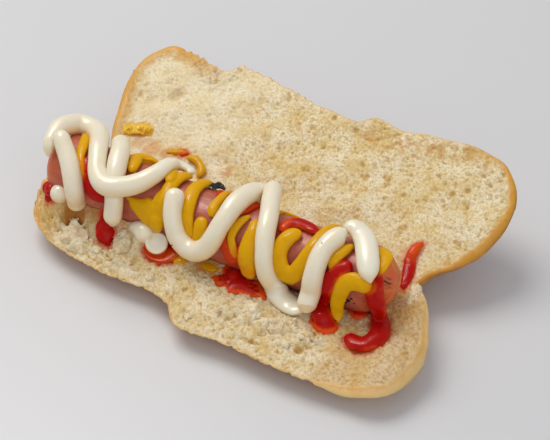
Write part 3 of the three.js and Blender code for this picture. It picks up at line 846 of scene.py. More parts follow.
# Puddles, smears and drops, drawn with the piece that is named. These lie apart from its solid:
# the round drops of ketchup_left and mayo_loop, the last of ketchup_middle and of mustard_swath,
# the first two of ketchup_hook, the first of mustard_bowl, and the only ones of
# ketchup_far_streak, mustard_bend and mustard_short.
patches = {
    "mayo_curl": [cutDisc(overNear(-13.3, -14.4, 4.2), (0.46, -0.62, 0.64), [
        [-0.4, 0.2], [-0.37, 0.9], [-0.25, 1.8], [0, 2.5], [0.18, 2.9], [0.3, 3.3], [0.15, 3.7],
        [-0.4, 3.9], [-1.6, 4.0],
        [-3.4, 3.9], [-5.2, 3.5], [-6.2, 2.4], [-6.6, 0.3],
    ])],
    "mustard_bend": [patch(overNear, [
        [-8.5, -12.3], [-7, -14.6], [-4.5, -15.6], [-2.5, -14.4], [-2.5, -12.5], [-5.5, -11],
    ], 0.7)],
    "mustard_short": [patch(overNear, [
        [2.5, -11.3], [4, -12.9], [6.5, -13.3], [9, -12.2], [8.4, -10.6], [5, -10],
    ], 0.35)],
    "ketchup_left": [
        patch(overNear, [
            [-38.5, -12.5], [-35.5, -15.5], [-33, -18], [-31, -18.4], [-31.5, -15.5], [-34, -11.5],
            [-37, -10],
        ], 1.5),
        cutDisc(overNear(-61.6, -10.8, 2.8), (-0.2, -0.7, 0.6), dab(2.6)),
        cutDisc(overNear(-59.4, -12, 2.6), (-0.2, -0.7, 0.6), dab(2.7)),
        cutDisc(overNear(-60.2, -12.6, 0.8), (-0.2, -0.7, 0.6), dab(2.0)),
    ],
    "ketchup_under_curl": [patch(overNear, [
        [-20, -12.5], [-19, -15.2], [-17.2, -15.9], [-15.8, -17.7], [-13.2, -17.2], [-10.6, -18],
        [-8.8, -15.8],
        [-6.4, -14.6], [-6.2, -11.5], [-10, -8], [-14, -9],
    ], 0.8)],
    "ketchup_middle": [
        patch(overNear, [
            [9, -15.8], [12, -13], [10.5, -10], [13, -5.5], [17, -7.5], [21, -11.5], [25.5, -10.5],
            [31.5, -16], [27.5, -16.8],
            [23, -17.5], [18.5, -19.5], [16, -17.6], [13, -18.4],
        ], 1.1),
        patch(overNear, [
            [13.5, -11.5], [15, -8.5], [18, -9.5], [19.5, -13], [17, -15.5], [14.5, -14.5],
        ], 2.0, 0.3),
        patch(overSausage, [[1.5, -4], [-1, -34], [1, -40], [3.5, -40], [5, -38], [4, -22], [3, -2]], 0.7),
    ],
    "ketchup_right_stripe": [patch(overNear, [
        [48, -17], [47.5, -13], [50, -10.5], [53, -11], [56.5, -14.5], [58.5, -17], [58, -19.5],
        [55.5, -21.5],
        [52.5, -21], [49, -19.5],
    ], 1.9)],
    "ketchup_hook": [
        patch(overNear, [
            [57.5, -8.5], [57.5, -5], [59.5, -3], [62, -4], [64, -7], [64, -10], [61, -11],
        ], 1.6, 1.5),
        patch(overNear, [
            [60.3, -8], [60.3, -6.2], [61.6, -5.4], [62.9, -6.4], [62.8, -8.2], [61.5, -9],
        ], 2.3, 0.4),
        patch(overSausage, [
            [63, 35], [65.5, 27], [68, 38], [70, 55], [69.5, 76], [66, 84], [64.5, 72], [65, 52],
        ], 1.3),
    ],
    "ketchup_far_streak": [patch(overFar, [
        [-33.5, 17.2], [-31.5, 18.8], [-29, 18.6], [-30, 17.2], [-32, 16.6],
    ], 0.8)],
    "mustard_back": [patch(overSausage, [
        [-37, -18], [-38, -37], [-34, -44], [-28, -44], [-25.5, -40], [-28.5, -33], [-31, -22], [-30, -2],
        [-29, 15], [-33, 6],
    ], 1.7)],
    "mustard_far_blob": [
        patch(overFar, [
            [-58.8, 18.3], [-59.6, 21.4], [-57.5, 23.2], [-55, 22.8], [-52.5, 24.2], [-50, 24.7],
            [-47, 23.2], [-47.2, 20.8],
            [-50, 19.8], [-52.6, 20], [-54.5, 18.6], [-57, 17.6],
        ], 1.2),
        patch(overFar, [[-53.5, 20.5], [-52.5, 23], [-50.5, 22.2], [-51, 20.3]], 2.1, 0.3),
        patch(overFar, [[-50.5, 21], [-49.5, 23.8], [-47.6, 22.6], [-48, 20.8]], 2.0, 0.3),
        patch(overFar, [[-57.5, 19], [-56.5, 21.5], [-54.5, 21], [-55.5, 18.8]], 1.8, 0.3),
    ],
    "mustard_swath": [
        patch(overSausage, [
            [-29, 56], [-23, 52], [-20, 44], [-17.5, 44], [-17, 27], [-15.5, 12], [-13, 38], [-12.5, 59],
            [-12.5, 79],
            [-14.5, 96], [-17.5, 92], [-19.5, 80], [-24.5, 69],
        ], 1.7),
        patch(overFar, [[-38.5, 16], [-36.5, 18], [-33.5, 19], [-30, 19], [-31.5, 17], [-34.5, 16.5]], 0.7),
    ],
    "mustard_bowl": [
        patch(overSausage, [
            [21.5, -22], [22, -42], [25, -44], [31.5, -43], [31, -38], [27.5, -34], [25, -30], [24.5, -12],
        ], 0.9),
        patch(overSausage, [
            [30.5, 92], [30.5, 104], [33.5, 112], [38, 108], [39, 98], [35.5, 96], [33, 90],
        ], 0.7),
        patch(overSausage, [
            [39.5, 30], [41, 10], [43, -8], [45.5, -32], [47.5, -30], [46, -6], [44.5, 12], [42.5, 32],
        ], 1.9),
    ],
    "mayo_loop": [cutDisc(overNear(-55.5, -12.4, 3.0), (-0.1, -0.75, 0.6), dab(3.6))],
}

laid = []  # (name, sauce, its strands)
soaked = {id(sauce): [] for sauce in (ketchup, mustard, mayonnaise)}
earlier = np.zeros((0, 5))
for name, sauce, routes in strands:
    lines = []
    for route in routes:
        line = layStrand(sauce, route, earlier)
        row = np.column_stack([line["points"], line["wide"], line["high"]])
        earlier = np.vstack([earlier, row[::4]])
        soaked[id(sauce)].append(row[::3, :4])
        lines.append(line)
    laid.append((name, sauce, lines))
    for rings in patches.get(name, []):
        inner = rings[:12:2, ::3].reshape(-1, 3)
        soaked[id(sauce)].append(np.column_stack([inner, np.full(len(inner), 0.7)]))
redPoints, yellowPoints, whitePoints = (np.vstack(rows) for rows in soaked.values())
print("sauce routes laid:", len(laid))


# finishes

def startMaterial(name):
    # a fresh material with its shader; further nodes are added to its tree
    material = bpy.data.materials.new(name)
    material.use_nodes = True
    return material, material.node_tree, material.node_tree.nodes["Principled BSDF"]


def setSockets(shader, values):
    for socket, value in values.items():
        shader.inputs[socket].default_value = value


def setBody(shader, look):
    # the gloss at the surface, and how far light enters, in millimetres for red, green and blue
    setSockets(shader, {
        "Specular IOR Level": look["specular"],
        "Coat Weight": look["coat"],
        "Coat Roughness": look["coatRoughness"],
        "Subsurface Weight": look["subsurface"],
        "Subsurface Scale": 1.0,
        "Subsurface Radius": tuple(length * mm for length in look["reach"]),
    })


def cloudNoise(tree, place, size, detail, roughness):
    # soft noise with clouds about size millimetres across
    return addNode(tree, "ShaderNodeTexNoise", None, {
        "Vector": place, "Scale": 1 / (size * mm), "Detail": detail, "Roughness": roughness,
    }).outputs["Fac"]


def mapped(tree, value, low, high, most=1.0, least=0.0, curve="LINEAR"):
    # the value's span from low to high, taken to the span from least to most
    return addNode(tree, "ShaderNodeMapRange", {"interpolation_type": curve}, {
        "Value": value, "From Min": low, "From Max": high, "To Min": least, "To Max": most,
    }).outputs["Result"]


def readMasks(tree, *names):
    return [addNode(tree, "ShaderNodeAttribute", {"attribute_name": name}).outputs["Fac"] for name in names]


def layered(tree, colour, layers):
    # the colour is built up in layers, each mixed over the one before by its own mask
    for amount, over in layers:
        mix = addNode(tree, "ShaderNodeMix", {"data_type": "RGBA"}, {0: amount, 6: colour, 7: over})
        colour = mix.outputs[2]
    return colour


def mathOf(tree, operation, *values):
    return addNode(tree, "ShaderNodeMath", {"operation": operation}, dict(enumerate(values))).outputs[0]


def blended(tree, amount, under, over):
    return addNode(tree, "ShaderNodeMix", {"data_type": "FLOAT"}, {0: amount, 2: under, 3: over}).outputs[0]


def addBump(tree, shader, height, strength, distance):
    bump = addNode(tree, "ShaderNodeBump", None, {
        "Strength": strength, "Distance": distance * mm, "Height": height,
    })
    tree.links.new(bump.outputs["Normal"], shader.inputs["Normal"])


bread = {
    "crumbPale": "#f9edcd",
    "crumbWarm": "#ead196",
    # painted shade: the darker warm tan laid into the pores by their depth; the same tone goes in random
    # flecks and grain
    "poreShade": "#c49e52",
    # toasting, and also the painted shade in the near half's hollows and on its crumb wall
    "toastAndShade": "#b47630",
    "crustPale": "#edca8c",
    "crustGold": "#dc9f4c",
    "crustBrown": "#b8722c",
    "crustDark": "#7e451b",
    "ketchupStain": "#cf4a17",
    "mustardStain": "#dda21e",
    "mottleSize": 9.0,
    "fleckSize": 1.1,
    "grainSize": 0.75,
    "crustGrainSize": 1.6,
    "bump": 0.3,
    "specular": 0.3,
    "coat": 0.0,
    "coatRoughness": 0.03,
    "subsurface": 0.22,
    "reach": (1.6, 1.0, 0.5),
}


def breadFinish():
    # wheat bread, torn and baked: the crumb is matt and lets a little light through; painted shade
    # darkens its pores and hollows to a warm tan; the egg-washed crust is smoother and has a soft sheen
    material, tree, shader = startMaterial("wheat bread, crumb and crust")
    place = addNode(tree, "ShaderNodeTexCoord").outputs["Object"]
    mottle = cloudNoise(tree, place, bread["mottleSize"], 3.0, 0.6)
    fleck = cloudNoise(tree, place, bread["fleckSize"], 3.0, 0.7)
    grit = cloudNoise(tree, place, bread["crustGrainSize"], 4.0, 0.65)
    grain = addNode(tree, "ShaderNodeTexVoronoi", {"feature": "SMOOTH_F1"}, {
        "Vector": place, "Scale": 1 / (bread["grainSize"] * mm), "Smoothness": 0.35,
    }).outputs["Distance"]
    poreShade, fluffAndLight, toastAndShade, crust, bake, red, yellow, wet = readMasks(
        tree, "poreShade", "fluffAndLight", "toastAndShade", "crust", "bake", "red", "yellow", "wet",
    )
    soft = "SMOOTHSTEP"
    crumb = layered(tree, bread["crumbPale"], (
        (mapped(tree, mottle, 0.35, 0.68, curve=soft), bread["crumbWarm"]),
        (mapped(tree, fleck, 0.48, 0.66, 0.62, curve=soft), bread["poreShade"]),
        # painted shade: the crumb darkens in its pores by their depth
        (mapped(tree, poreShade, 0.08, 0.85, 0.9, curve=soft), bread["poreShade"]),
        (mapped(tree, grain, 0.35, 0.75, 0.3, curve=soft), bread["poreShade"]),
        # fluff mask: paler torn crumb, and painted light on the far half's left
        (fluffAndLight, bread["crumbPale"]),
        # toast mask: browning, partly painted shade in the near half's hollows and on its wall
        (toastAndShade, bread["toastAndShade"]),
    ))
    uneven = mathOf(tree, "MULTIPLY_ADD", mottle, 0.5, -0.25)
    fine = mathOf(tree, "MULTIPLY_ADD", grit, 0.24, -0.12)
    browned = mathOf(tree, "ADD", mathOf(tree, "ADD", bake, uneven), fine)
    baked = addNode(tree, "ShaderNodeValToRGB", None, {"Fac": browned}, [
        (0.05, bread["crustPale"]), (0.38, bread["crustGold"]),
        (0.72, bread["crustBrown"]), (1.0, bread["crustDark"]),
    ]).outputs["Color"]
    colour = layered(tree, crumb, (
        (crust, baked), (yellow, bread["mustardStain"]), (red, bread["ketchupStain"]),
    ))
    tree.links.new(colour, shader.inputs["Base Color"])
    gloss = mapped(tree, crust, 0.0, 1.0, 0.5, 0.88)
    tree.links.new(blended(tree, wet, gloss, 0.3), shader.inputs["Roughness"])
    addBump(tree, shader, blended(tree, crust, grain, grit), 0.6, bread["bump"])
    setBody(shader, bread)
    return material


skinLook = {
    "rose": "#c76d52",
    "brown": "#ae5238",
    "speck": "#83391f",
    "endTan": "#e97e3a",
    "endBrown": "#e0622a",
    # painted shade in the folds and gathers at the tied end
    "creaseShade": "#2e140c",
    "film": "#b82c14",
    "cloudSize": 7.0,
    "speckSize": 1.1,
    "roughness": (0.36, 0.56),
    "bump": 0.12,
    "specular": 0.4,
    "coat": 0.12,
    "coatRoughness": 0.16,
    "subsurface": 0.18,
    "reach": (2.0, 0.7, 0.4),
}


def skinFinish():
    # a smoked pork casing, cooked: rosy brown, finely mottled, tight and slightly wet
    material, tree, shader = startMaterial("smoked casing, cooked")
    place = addNode(tree, "ShaderNodeTexCoord").outputs["Object"]
    drawn = addNode(tree, "ShaderNodeMapping", None, {"Vector": place, "Scale": (0.55, 1.0, 1.0)})
    cloud = cloudNoise(tree, drawn.outputs["Vector"], skinLook["cloudSize"], 4.0, 0.6)
    cloudy = mapped(tree, cloud, 0.35, 0.65)
    speckle = cloudNoise(tree, place, skinLook["speckSize"], 3.0, 0.7)
    end, film, creaseShade = readMasks(tree, "end", "film", "creaseShade")
    atEnd = layered(tree, skinLook["endTan"], ((cloudy, skinLook["endBrown"]),))
    colour = layered(tree, skinLook["rose"], (
        (cloudy, skinLook["brown"]), (mapped(tree, speckle, 0.52, 0.70, 0.5), skinLook["speck"]),
        # the crease layer is painted shade in the folds at the tied end
        (end, atEnd), (film, skinLook["film"]), (creaseShade, skinLook["creaseShade"]),
    ))
    tree.links.new(colour, shader.inputs["Base Color"])
    smoothest, roughest = skinLook["roughness"]
    tree.links.new(mapped(tree, speckle, 0.0, 1.0, roughest, smoothest), shader.inputs["Roughness"])
    addBump(tree, shader, speckle, 0.35, skinLook["bump"])
    setBody(shader, skinLook)
    return material


sauceCloudSize = 2.2
sauceLooks = {
    "mayonnaise": {
        # its thin colour also serves as the painted shade on the ropes' lower flanks
        "thick": "#f8efd9", "thinAndShade": "#ebcf98", "speck": "#faf2e0", "mixed": "#e8cf6e", "roughness": 0.34,
        "coat": 0.3, "coatRoughness": 0.12,
        "specular": 0.45, "subsurface": 0.5, "reach": (2.6, 1.8, 0.9), "bump": 0.04, "patchy": 0.04,
        "mixing": 0.06, "thinning": 0.5,
    },
    "mustard": {
        "thick": "#e2a800", "thinAndShade": "#f4c644", "speck": "#c78a00", "mixed": "#e07408", "roughness": 0.5,
        "coat": 0.16, "coatRoughness": 0.12,
        "specular": 0.06, "subsurface": 0.12, "reach": (1.6, 0.8, 0.02), "bump": 0.08, "patchy": 0.3,
        "mixing": 0.6, "thinning": 0.2,
    },
    "ketchup": {
        "thick": "#b60c04", "thinAndShade": "#e2500a", "speck": "#8a0401", "mixed": "#e46a08", "roughness": 0.4,
        "coat": 0.17, "coatRoughness": 0.12,
        "specular": 0.06, "subsurface": 0.04, "reach": (1.4, 0.1, 0.02), "bump": 0.16, "patchy": 0.3,
        "mixing": 0.6, "thinning": 1.0,
    },
}


def sauceFinish(kind, note):
    # a smooth emulsion: a wet even gloss over a body that light enters a little way; the rim,
    # where it lies thin, and on mayonnaise the downward flank as painted shade, takes the second
    # colour, and the last one where two sauces run together
    look = sauceLooks[kind]
    material, tree, shader = startMaterial(note)
    place = addNode(tree, "ShaderNodeTexCoord").outputs["Object"]
    thinAndShade, mixed = readMasks(tree, "thinAndShade", "mixed")
    cloud = cloudNoise(tree, place, sauceCloudSize, 3.0, 0.55)
    colour = layered(tree, look["thick"], (
        (thinAndShade, look["thinAndShade"]), (mapped(tree, cloud, 0.5, 0.75, look["patchy"]), look["speck"]),
        (mixed, look["mixed"]),
    ))
    tree.links.new(colour, shader.inputs["Base Color"])
    addBump(tree, shader, cloud, 0.4, look["bump"])
    setSockets(shader, {"Roughness": look["roughness"]})
    setBody(shader, look)
    return material


def charFinish():
    # charred skin and ground pepper: almost black, dry, with a cold grey sheen on its edges
    material, _, shader = startMaterial("charred skin and pepper")
    setSockets(shader, {"Base Color": toLinear("#241d1b"), "Roughness": 0.42})
    return material


breadMaterial = breadFinish()
skinMaterial = skinFinish()
sauceMaterials = {
    "mayonnaise": sauceFinish("mayonnaise", "egg mayonnaise, piped"),
    "mustard": sauceFinish("mustard", "mild yellow mustard, squeezed"),
    "ketchup": sauceFinish("ketchup", "tomato ketchup, squeezed"),
}
charMaterial = charFinish()
print("finishes made")

# bread

breadShape = {
    "stationCount": 400,
    "crumbRows": 196,
    "crustRows": 46,
    "tipLength": 9.0,
    "fineCell": 1.05, "fineDepth": 0.26,
    "middleCell": 1.9, "middleDepth": 0.38,
    "largeCell": 4.2, "largeDepth": 0.42,
    "tuftCell": 3.2, "tuftHeight": 1.15,
    "jitter": 0.2,
}


def crumbRelief(flat, torn, salt):
    # bubbles of three sizes cut open in slightly warped cells, over soft unevenness; where the
    # crumb is torn instead of cut, ridges as 1 - |noise| stand up in tufts; returns the height
    # about its mean and how deep in a pore each point is, which sets the painted shade there
    deep = np.column_stack([flat, np.full(len(flat), 3.7)])
    warp = np.stack([softNoise(deep, 1.9, salt), softNoise(deep, 1.9, salt + 5)], -1)
    bent = flat + 0.5 * warp
    depth = (
        breadShape["fineDepth"] * bubbles(bent, breadShape["fineCell"], 0.9, salt + 9)
        + breadShape["middleDepth"] * bubbles(bent, breadShape["middleCell"], 0.6, salt + 19)
        + breadShape["largeDepth"] * bubbles(bent, breadShape["largeCell"], 0.14, salt + 29)
    )
    ridge = 1 - np.abs(layeredNoise(deep, breadShape["tuftCell"], 4, salt + 39)) * 1.6
    height = 0.34 * layeredNoise(deep, 5.0, 4, salt + 49) - depth * (1 + 0.2 * torn)
    height += torn * breadShape["tuftHeight"] * (np.clip(ridge, -0.4, 1) - 0.55)
    # painted shade: the crumb darkens deeper in a pore and in the grooves between tufts
    poreShade = depth / 0.7 + torn * np.clip(0.4 - ridge, 0, 1)
    return height - height.mean(), np.clip(poreShade, 0, 1)


def jitterOf(points, amount, salt):
    # a small push in every direction, so that no wall of a pore is quite upright
    pushes = [softNoise(points, 1.5, salt + k) + 0.5 * softNoise(points, 0.8, salt + 7 + k) for k in range(3)]
    return amount[:, None] * np.stack(pushes, -1)


def raggedEdge(edge, size, start, end, salt):
    # the edge with uneven bites of torn crumb between start and end
    def evaluate(x):
        line = np.column_stack([x, 0 * x + 0.4])
        window = plateau(x, start, start + 6, end - 6, end)
        return edge(x) + window * size * layeredNoise(line, 3.2, 4, salt)

    return evaluate


def halfGrid(left, right, lowEdge, highEdge):
    # the grid of one half: a station along x, then shares across it, over the crumb from the
    # high edge to the low one and back along the crust
    x = left + stations(right - left, breadShape["stationCount"], breadShape["tipLength"])
    s = np.linspace(0, 1, breadShape["crumbRows"])
    over = 1 - (s - 0.3 * np.sin(2 * np.pi * s) / (2 * np.pi))
    k = np.arange(1, breadShape["crustRows"])
    under = (1 - np.cos(np.pi * k / breadShape["crustRows"])) / 2
    share = np.concatenate([over, under])
    low, high = lowEdge(x), highEdge(x)
    across = low[:, None] + (high - low)[:, None] * share
    onCrumb = np.arange(len(share)) < len(over)
    return x, low, high, share, np.broadcast_to(x[:, None], across.shape), across, onCrumb


def rimLine(x, lowEdge, highEdge, step=0.3):
    # both edges as rows of x, across and further values, joined and taken again at even steps
    rows = np.vstack([np.column_stack([x, *lowEdge]), np.column_stack([x, *highEdge])[::-1]])
    run = np.concatenate([[0], np.cumsum(np.linalg.norm(np.diff(rows[:, :2], axis=0), axis=1))])
    return np.stack([np.interp(np.arange(0, run[-1], step), run, column) for column in rows.T], -1)


def shoulder(distance, band, fall):
    # the round edge between crumb and crust: a quarter of an ellipse, band wide and fall high
    return fall * (1 - np.sqrt(1 - np.clip(1 - distance / band, 0, 1) ** 2))


def sauceStains(points, salt):
    # how much of each sauce has soaked in around it, fading unevenly with the distance from its skin
    uneven = 0.8 * layeredNoise(points, 2.2, 3, salt)
    stains = []
    for sources, reach in ((redPoints, 1.7), (yellowPoints, 1.3), (whitePoints, 1.6)):
        stains.append(1 - smoothRise(clearance(points, sources) + uneven, 0.1, reach))
    return stains


def crumbOnly(onCrumb, grid):
    # 1 at every point on the crumb and 0 on the crust
    return np.broadcast_to(onCrumb, grid.shape).ravel().astype(float)


def padded(values, atPoles=0.0):
    # the values of a grid, followed by those of the two poles that close its ends
    return np.concatenate([values.ravel(), [atPoles, atPoles]])


def addStains(red, yellow, stains, flat, onTop, waviness, cell, salt, core):
    # spots of soaked sauce, full inside core of their radius, with a wavy edge
    for stainX, stainY, radius, redShare, yellowShare in stains:
        away = np.hypot(flat[:, 0] - stainX, flat[:, 1] - stainY) + waviness * softNoise(flat, cell, salt)
        spot = padded((1 - smoothRise(away, core * radius, radius)) * onTop)
        red = np.maximum(red, redShare * spot)
        yellow = np.maximum(yellow, yellowShare * spot)
    return red, yellow


farCrumb = {
    # [x, across, radius, depth] of the larger bubbles
    "pores": [
        [52.4, 30.4, 1.7, 1.2], [49.8, 25.4, 1.2, 0.9], [50.8, 39.6, 1.4, 1.1], [60.3, 42.3, 1.5, 1.2],
        [75, 47.5, 1.6, 1.1], [78.8, 44.5, 1.2, 1.0], [71.9, 40.5, 1.9, 1.3], [67.8, 37.2, 2.0, 1.3],
        [64.1, 39.8, 1.3, 1.0], [46.8, 39.9, 1.2, 0.9], [49.7, 43.3, 1.1, 0.9], [67.1, 31.6, 1.2, 1.0],
        [37.2, 38.5, 1.2, 0.8], [24, 49.9, 2.2, 1.4], [8.8, 45.2, 2.0, 1.0], [-5.9, 53.8, 2.0, 1.0],
        [-8.9, 31, 1.4, 1.0], [26.3, 28.5, 1.5, 0.9], [-48.3, 40.3, 4.4, 2.0], [-47.2, 42.6, 3.2, 1.4],
        [-36, 47, 2.3, 1.0], [-61, 41, 1.8, 0.9], [12, 24, 1.3, 0.8], [40, 19, 1.2, 0.8],
    ],
    "toastLine": [
        [30, 49.5], [34, 48.9], [41.4, 50.3], [49.4, 50.4], [55, 52.0], [62, 53.2], [68, 52.6], [72, 51.2],
    ],
    # [x, across, radius, share of red, of yellow]
    "stains": [
        [-50.5, 16.5, 4.5, 0.25, 0.35], [-44, 15.5, 5.5, 0.25, 0.65], [-37, 16, 4.5, 0.35, 0.6],
        [-11.6, 16.4, 2.2, 0.6, 0.2], [64, 9, 5, 0.35, 0.3],
    ],
    # [x, across, radius] where the crumb was pressed flat
    "pressed": [[16, 11, 7], [24, 9, 5], [-52, 17, 5], [-22, 12, 5]],
}


def farHalfMesh():
    left, right = farHalf["outerEdge"][0][0], farHalf["outerEdge"][-1][0]
    outerEdge = raggedEdge(farOuter, farHalf["raggedness"], -60, 8, 201)
    x, low, high, share, gridX, across, onCrumb = halfGrid(left, right, farHinge, outerEdge)
    onTop = crumbOnly(onCrumb, across)
    flat = np.stack([gridX, across], -1).reshape(-1, 2)
    torn = plateau(x, *farHalf["notch"])  # the notch in the far edge
    lowBand = 1.0 + 2.2 * (1 - smoothRise(x, -60, -50)) + 2.4 * smoothRise(x, 76, 86)
    highBand = 0.6 + 2.9 * (1 - smoothRise(x, -60, -50)) + 2.5 * smoothRise(x, 76, 87)
    lowFall, highFall = 0.25 + 0.55 * lowBand, 0.25 + 0.55 * highBand
    outline = rimLine(x, [low, lowBand, lowFall, 0 * torn], [high, highBand, highFall, torn])
    distance, which = nearest(flat, outline[:, :2])
    band, fall, tornEdge = outline[which, 2:].T
    tornHere = tornEdge * (1 - smoothRise(distance, 3, 9))

    relief, poreShade = crumbRelief(flat, 0.25 + 0.75 * tornHere, 100)
    ragged = 0.35 * softNoise(flat, 1.6, 7) * (1 + tornHere)
    crust = 1 - smoothRise(distance + ragged, 0.45 * band, 1.15 * band)
    # the larger bubbles, cut into the relief, also get painted shade by their depth
    for holeX, holeW, radius, depth in farCrumb["pores"]:
        squared = ((flat[:, 0] - holeX) ** 2 + (flat[:, 1] - holeW) ** 2) / (0.72 * radius) ** 2
        bowl = np.clip(1 - squared, 0, 1) ** 0.6
        relief -= 0.6 * depth * bowl * (1 - crust)
        poreShade = np.maximum(poreShade, 0.8 * bowl * min(depth, 1.2) / 1.2)
    pressed = np.zeros(len(flat))
    for pressX, pressW, radius in farCrumb["pressed"]:
        away = np.hypot(flat[:, 0] - pressX, flat[:, 1] - pressW) + softNoise(flat, 3.0, 15)
        pressed = np.maximum(pressed, 1 - smoothRise(away, 0.6 * radius, 1.1 * radius))
    pressed = np.maximum(pressed, 0.6 * (1 - smoothRise(flat[:, 1] + 2 * softNoise(flat, 4.0, 16), 9, 17)))
    relief *= 1 - 0.75 * pressed
    poreShade *= 1 - 0.7 * pressed
    line = np.array(farCrumb["toastLine"])
    steps = np.linspace(0, 1, 60)
    lineX = np.interp(steps, np.linspace(0, 1, len(line)), line[:, 0])
    lineW = np.interp(steps, np.linspace(0, 1, len(line)), line[:, 1])
    toLine = nearest(flat, np.stack([lineX, lineW], -1))[0] + 1.6 * softNoise(flat, 3.0, 21)
    blotches = smoothRise(layeredNoise(flat, 3.4, 5, 23), -0.25, 0.4)
    toastAndShade = (1 - smoothRise(toLine, 1.2, 5.5)) * blotches * (1 - crust)
    towardsRim = distance + 2.2 * layeredNoise(flat, 2.6, 3, 29)
    leftward = 1 - smoothRise(flat[:, 0], -50, -32)
    golden = (1 - smoothRise(towardsRim, 1.0, 8.0)) * leftward * smoothRise(flat[:, 1], 6, 22)
    golden = np.maximum(golden, 0.8 * (1 - smoothRise(towardsRim, 0.8, 3)) * smoothRise(flat[:, 0], 66, 76))
    height = wave(flat[:, 0], flat[:, 1]) - shoulder(distance, band, fall)
    height += (relief - 0.3 * toastAndShade) * (1 - crust) * (0.35 + 0.65 * smoothRise(distance, 0, 1.5))

    # crust: the hang below the line between the two edges, joined to the shoulders as a root of squares
    along = (x - left) / (right - left)
    full = np.sin(np.pi * along) ** 0.45
    dome = np.clip(1 - np.abs(2 * share - 1) ** 2.3, 0, 1) ** (1 / 1.8)
    hang = farHalf["depth"] * full[:, None] * dome
    edgeLine = wave(x, low)[:, None] * (1 - share) + wave(x, high)[:, None] * share
    edgeFall = lowFall[:, None] * (1 - share) + highFall[:, None] * share
    under = edgeLine - np.sqrt(edgeFall ** 2 + hang ** 2)
    height = np.where(onCrumb, height.reshape(across.shape), under)

    tornUnder = torn[:, None] * smoothRise(share, 0.93, 1.0)
    onCrust = np.broadcast_to(~onCrumb, across.shape)
    bare = smoothRise(tornUnder.ravel() + 0.5 * softNoise(flat, 3.0, 25), 0.4, 0.6)
    crust = np.where(onCrust, 1 - bare.reshape(across.shape), crust.reshape(across.shape))
    inBand = (1 - np.clip(distance / band, 0, 1)).reshape(across.shape)
    rightward = smoothRise(gridX, 50, 78)
    rim = (0.12 + 0.22 * inBand) * (1 - rightward) + (0.2 + 0.36 * inBand) * rightward
    below = smoothRise(hang, 0, 11)
    paleTop = plateau(gridX, 2, 14, 74, 82) * smoothRise(share, 0.9, 0.985)
    browning = 0.36 + 0.24 * rightward * (1 - below) + 0.34 * below
    bake = np.where(onCrust, browning * (1 - 0.9 * paleTop), rim)
    bake = bake + 0.12 * rightward * layeredNoise(flat, 3.0, 3, 35).reshape(across.shape)

    rings = onFarPlane(gridX, across, height)
    normal = ringNormals(rings)
    points = rings.reshape(-1, 3)
    crustFlat = crust.ravel()
    dents = 0.35 * layeredNoise(points, 11, 3, 31) + 0.10 * layeredNoise(points, 2.6, 3, 33)
    push = dents * crustFlat * onCrust.ravel()
    points = points + normal.reshape(-1, 3) * push[:, None]
    loose = breadShape["jitter"] * (1 - crustFlat) * (0.6 + tornHere)
    points = points + jitterOf(points, loose, 41)
    points[:, 2] = np.maximum(points[:, 2], 0)
    rings = points.reshape(rings.shape)

    closed = closeEnds(rings)
    red, yellow, white = sauceStains(closed, 51)
    # painted light: the left part of the far crumb is made paler, as lit most by the key lamp on the left
    paintedLightLeft = 0.45 * (1 - smoothRise(flat[:, 0], -35, 5)) * (1 - golden)
    tint = (0.75 * golden + 0.3 * toastAndShade) * onTop
    yellow = np.maximum(yellow, padded(tint))
    red, yellow = addStains(red, yellow, farCrumb["stains"], flat, onTop, 1.6, 2.5, 27, 0.3)
    masks = {
        "poreShade": padded(poreShade * onTop),
        "toastAndShade": padded(np.maximum(0.55 * toastAndShade, 0.5 * golden) * onTop),
        "fluffAndLight": padded(np.maximum(0.5 * tornHere, paintedLightLeft) * onTop),
        "crust": padded(crustFlat, 1.0),
        "bake": padded(bake, 0.4),
        "red": 0.75 * red, "yellow": 0.8 * yellow,
        "wet": np.maximum(0.8 * np.maximum(red, yellow), 0.3 * white),
    }
    quads, triangles = skinFaces(*rings.shape[:2])
    return meshFrom("bread_far_half", closed, quads, triangles, masks)


addPiece("bread_far_half", farHalfMesh(), breadMaterial, ["bun"])
print("far half of the roll made")

nearCrumbDetail = {
    # [x, y, radius along, radius across, depth, how much painted shade browns it]
    "hollows": [
        [-49, -14, 5.0, 2.6, 3.4, 1.0], [43.7, -23.3, 2.2, 1.3, 1.0, 0.3], [20, -27.8, 1.8, 1.1, 0.8, 0.15],
        [36, -33.5, 2.4, 1.4, 0.8, 0.2], [51.1, -29.9, 2.0, 1.3, 0.8, 0.15], [4, -24, 1.6, 1.1, 0.7, 0.1],
    ],
    "lumps": [
        [-46, -19.5, 3.4], [-38.5, -21, 3], [-27, -16.5, 3.0], [-24, -22, 2.6], [-59, -15, 3.0],
        [-55.5, -17.5, 2.6],
        [22, -27, 3.2], [29, -25.5, 3.4], [35, -26.5, 3], [43, -23.5, 3.2], [50, -25.5, 3.6],
    ],
    "trough": 0.25,
    # [x, y, radius, share of red, of yellow]
    "stains": [
        [-5.5, -13.5, 3.6, 0.1, 0.9], [4, -12, 4.2, 0.25, 0.9], [8.5, -12, 3.2, 0.2, 0.8],
        [-29, -13, 3.5, 0.35, 0.2],
    ],
}


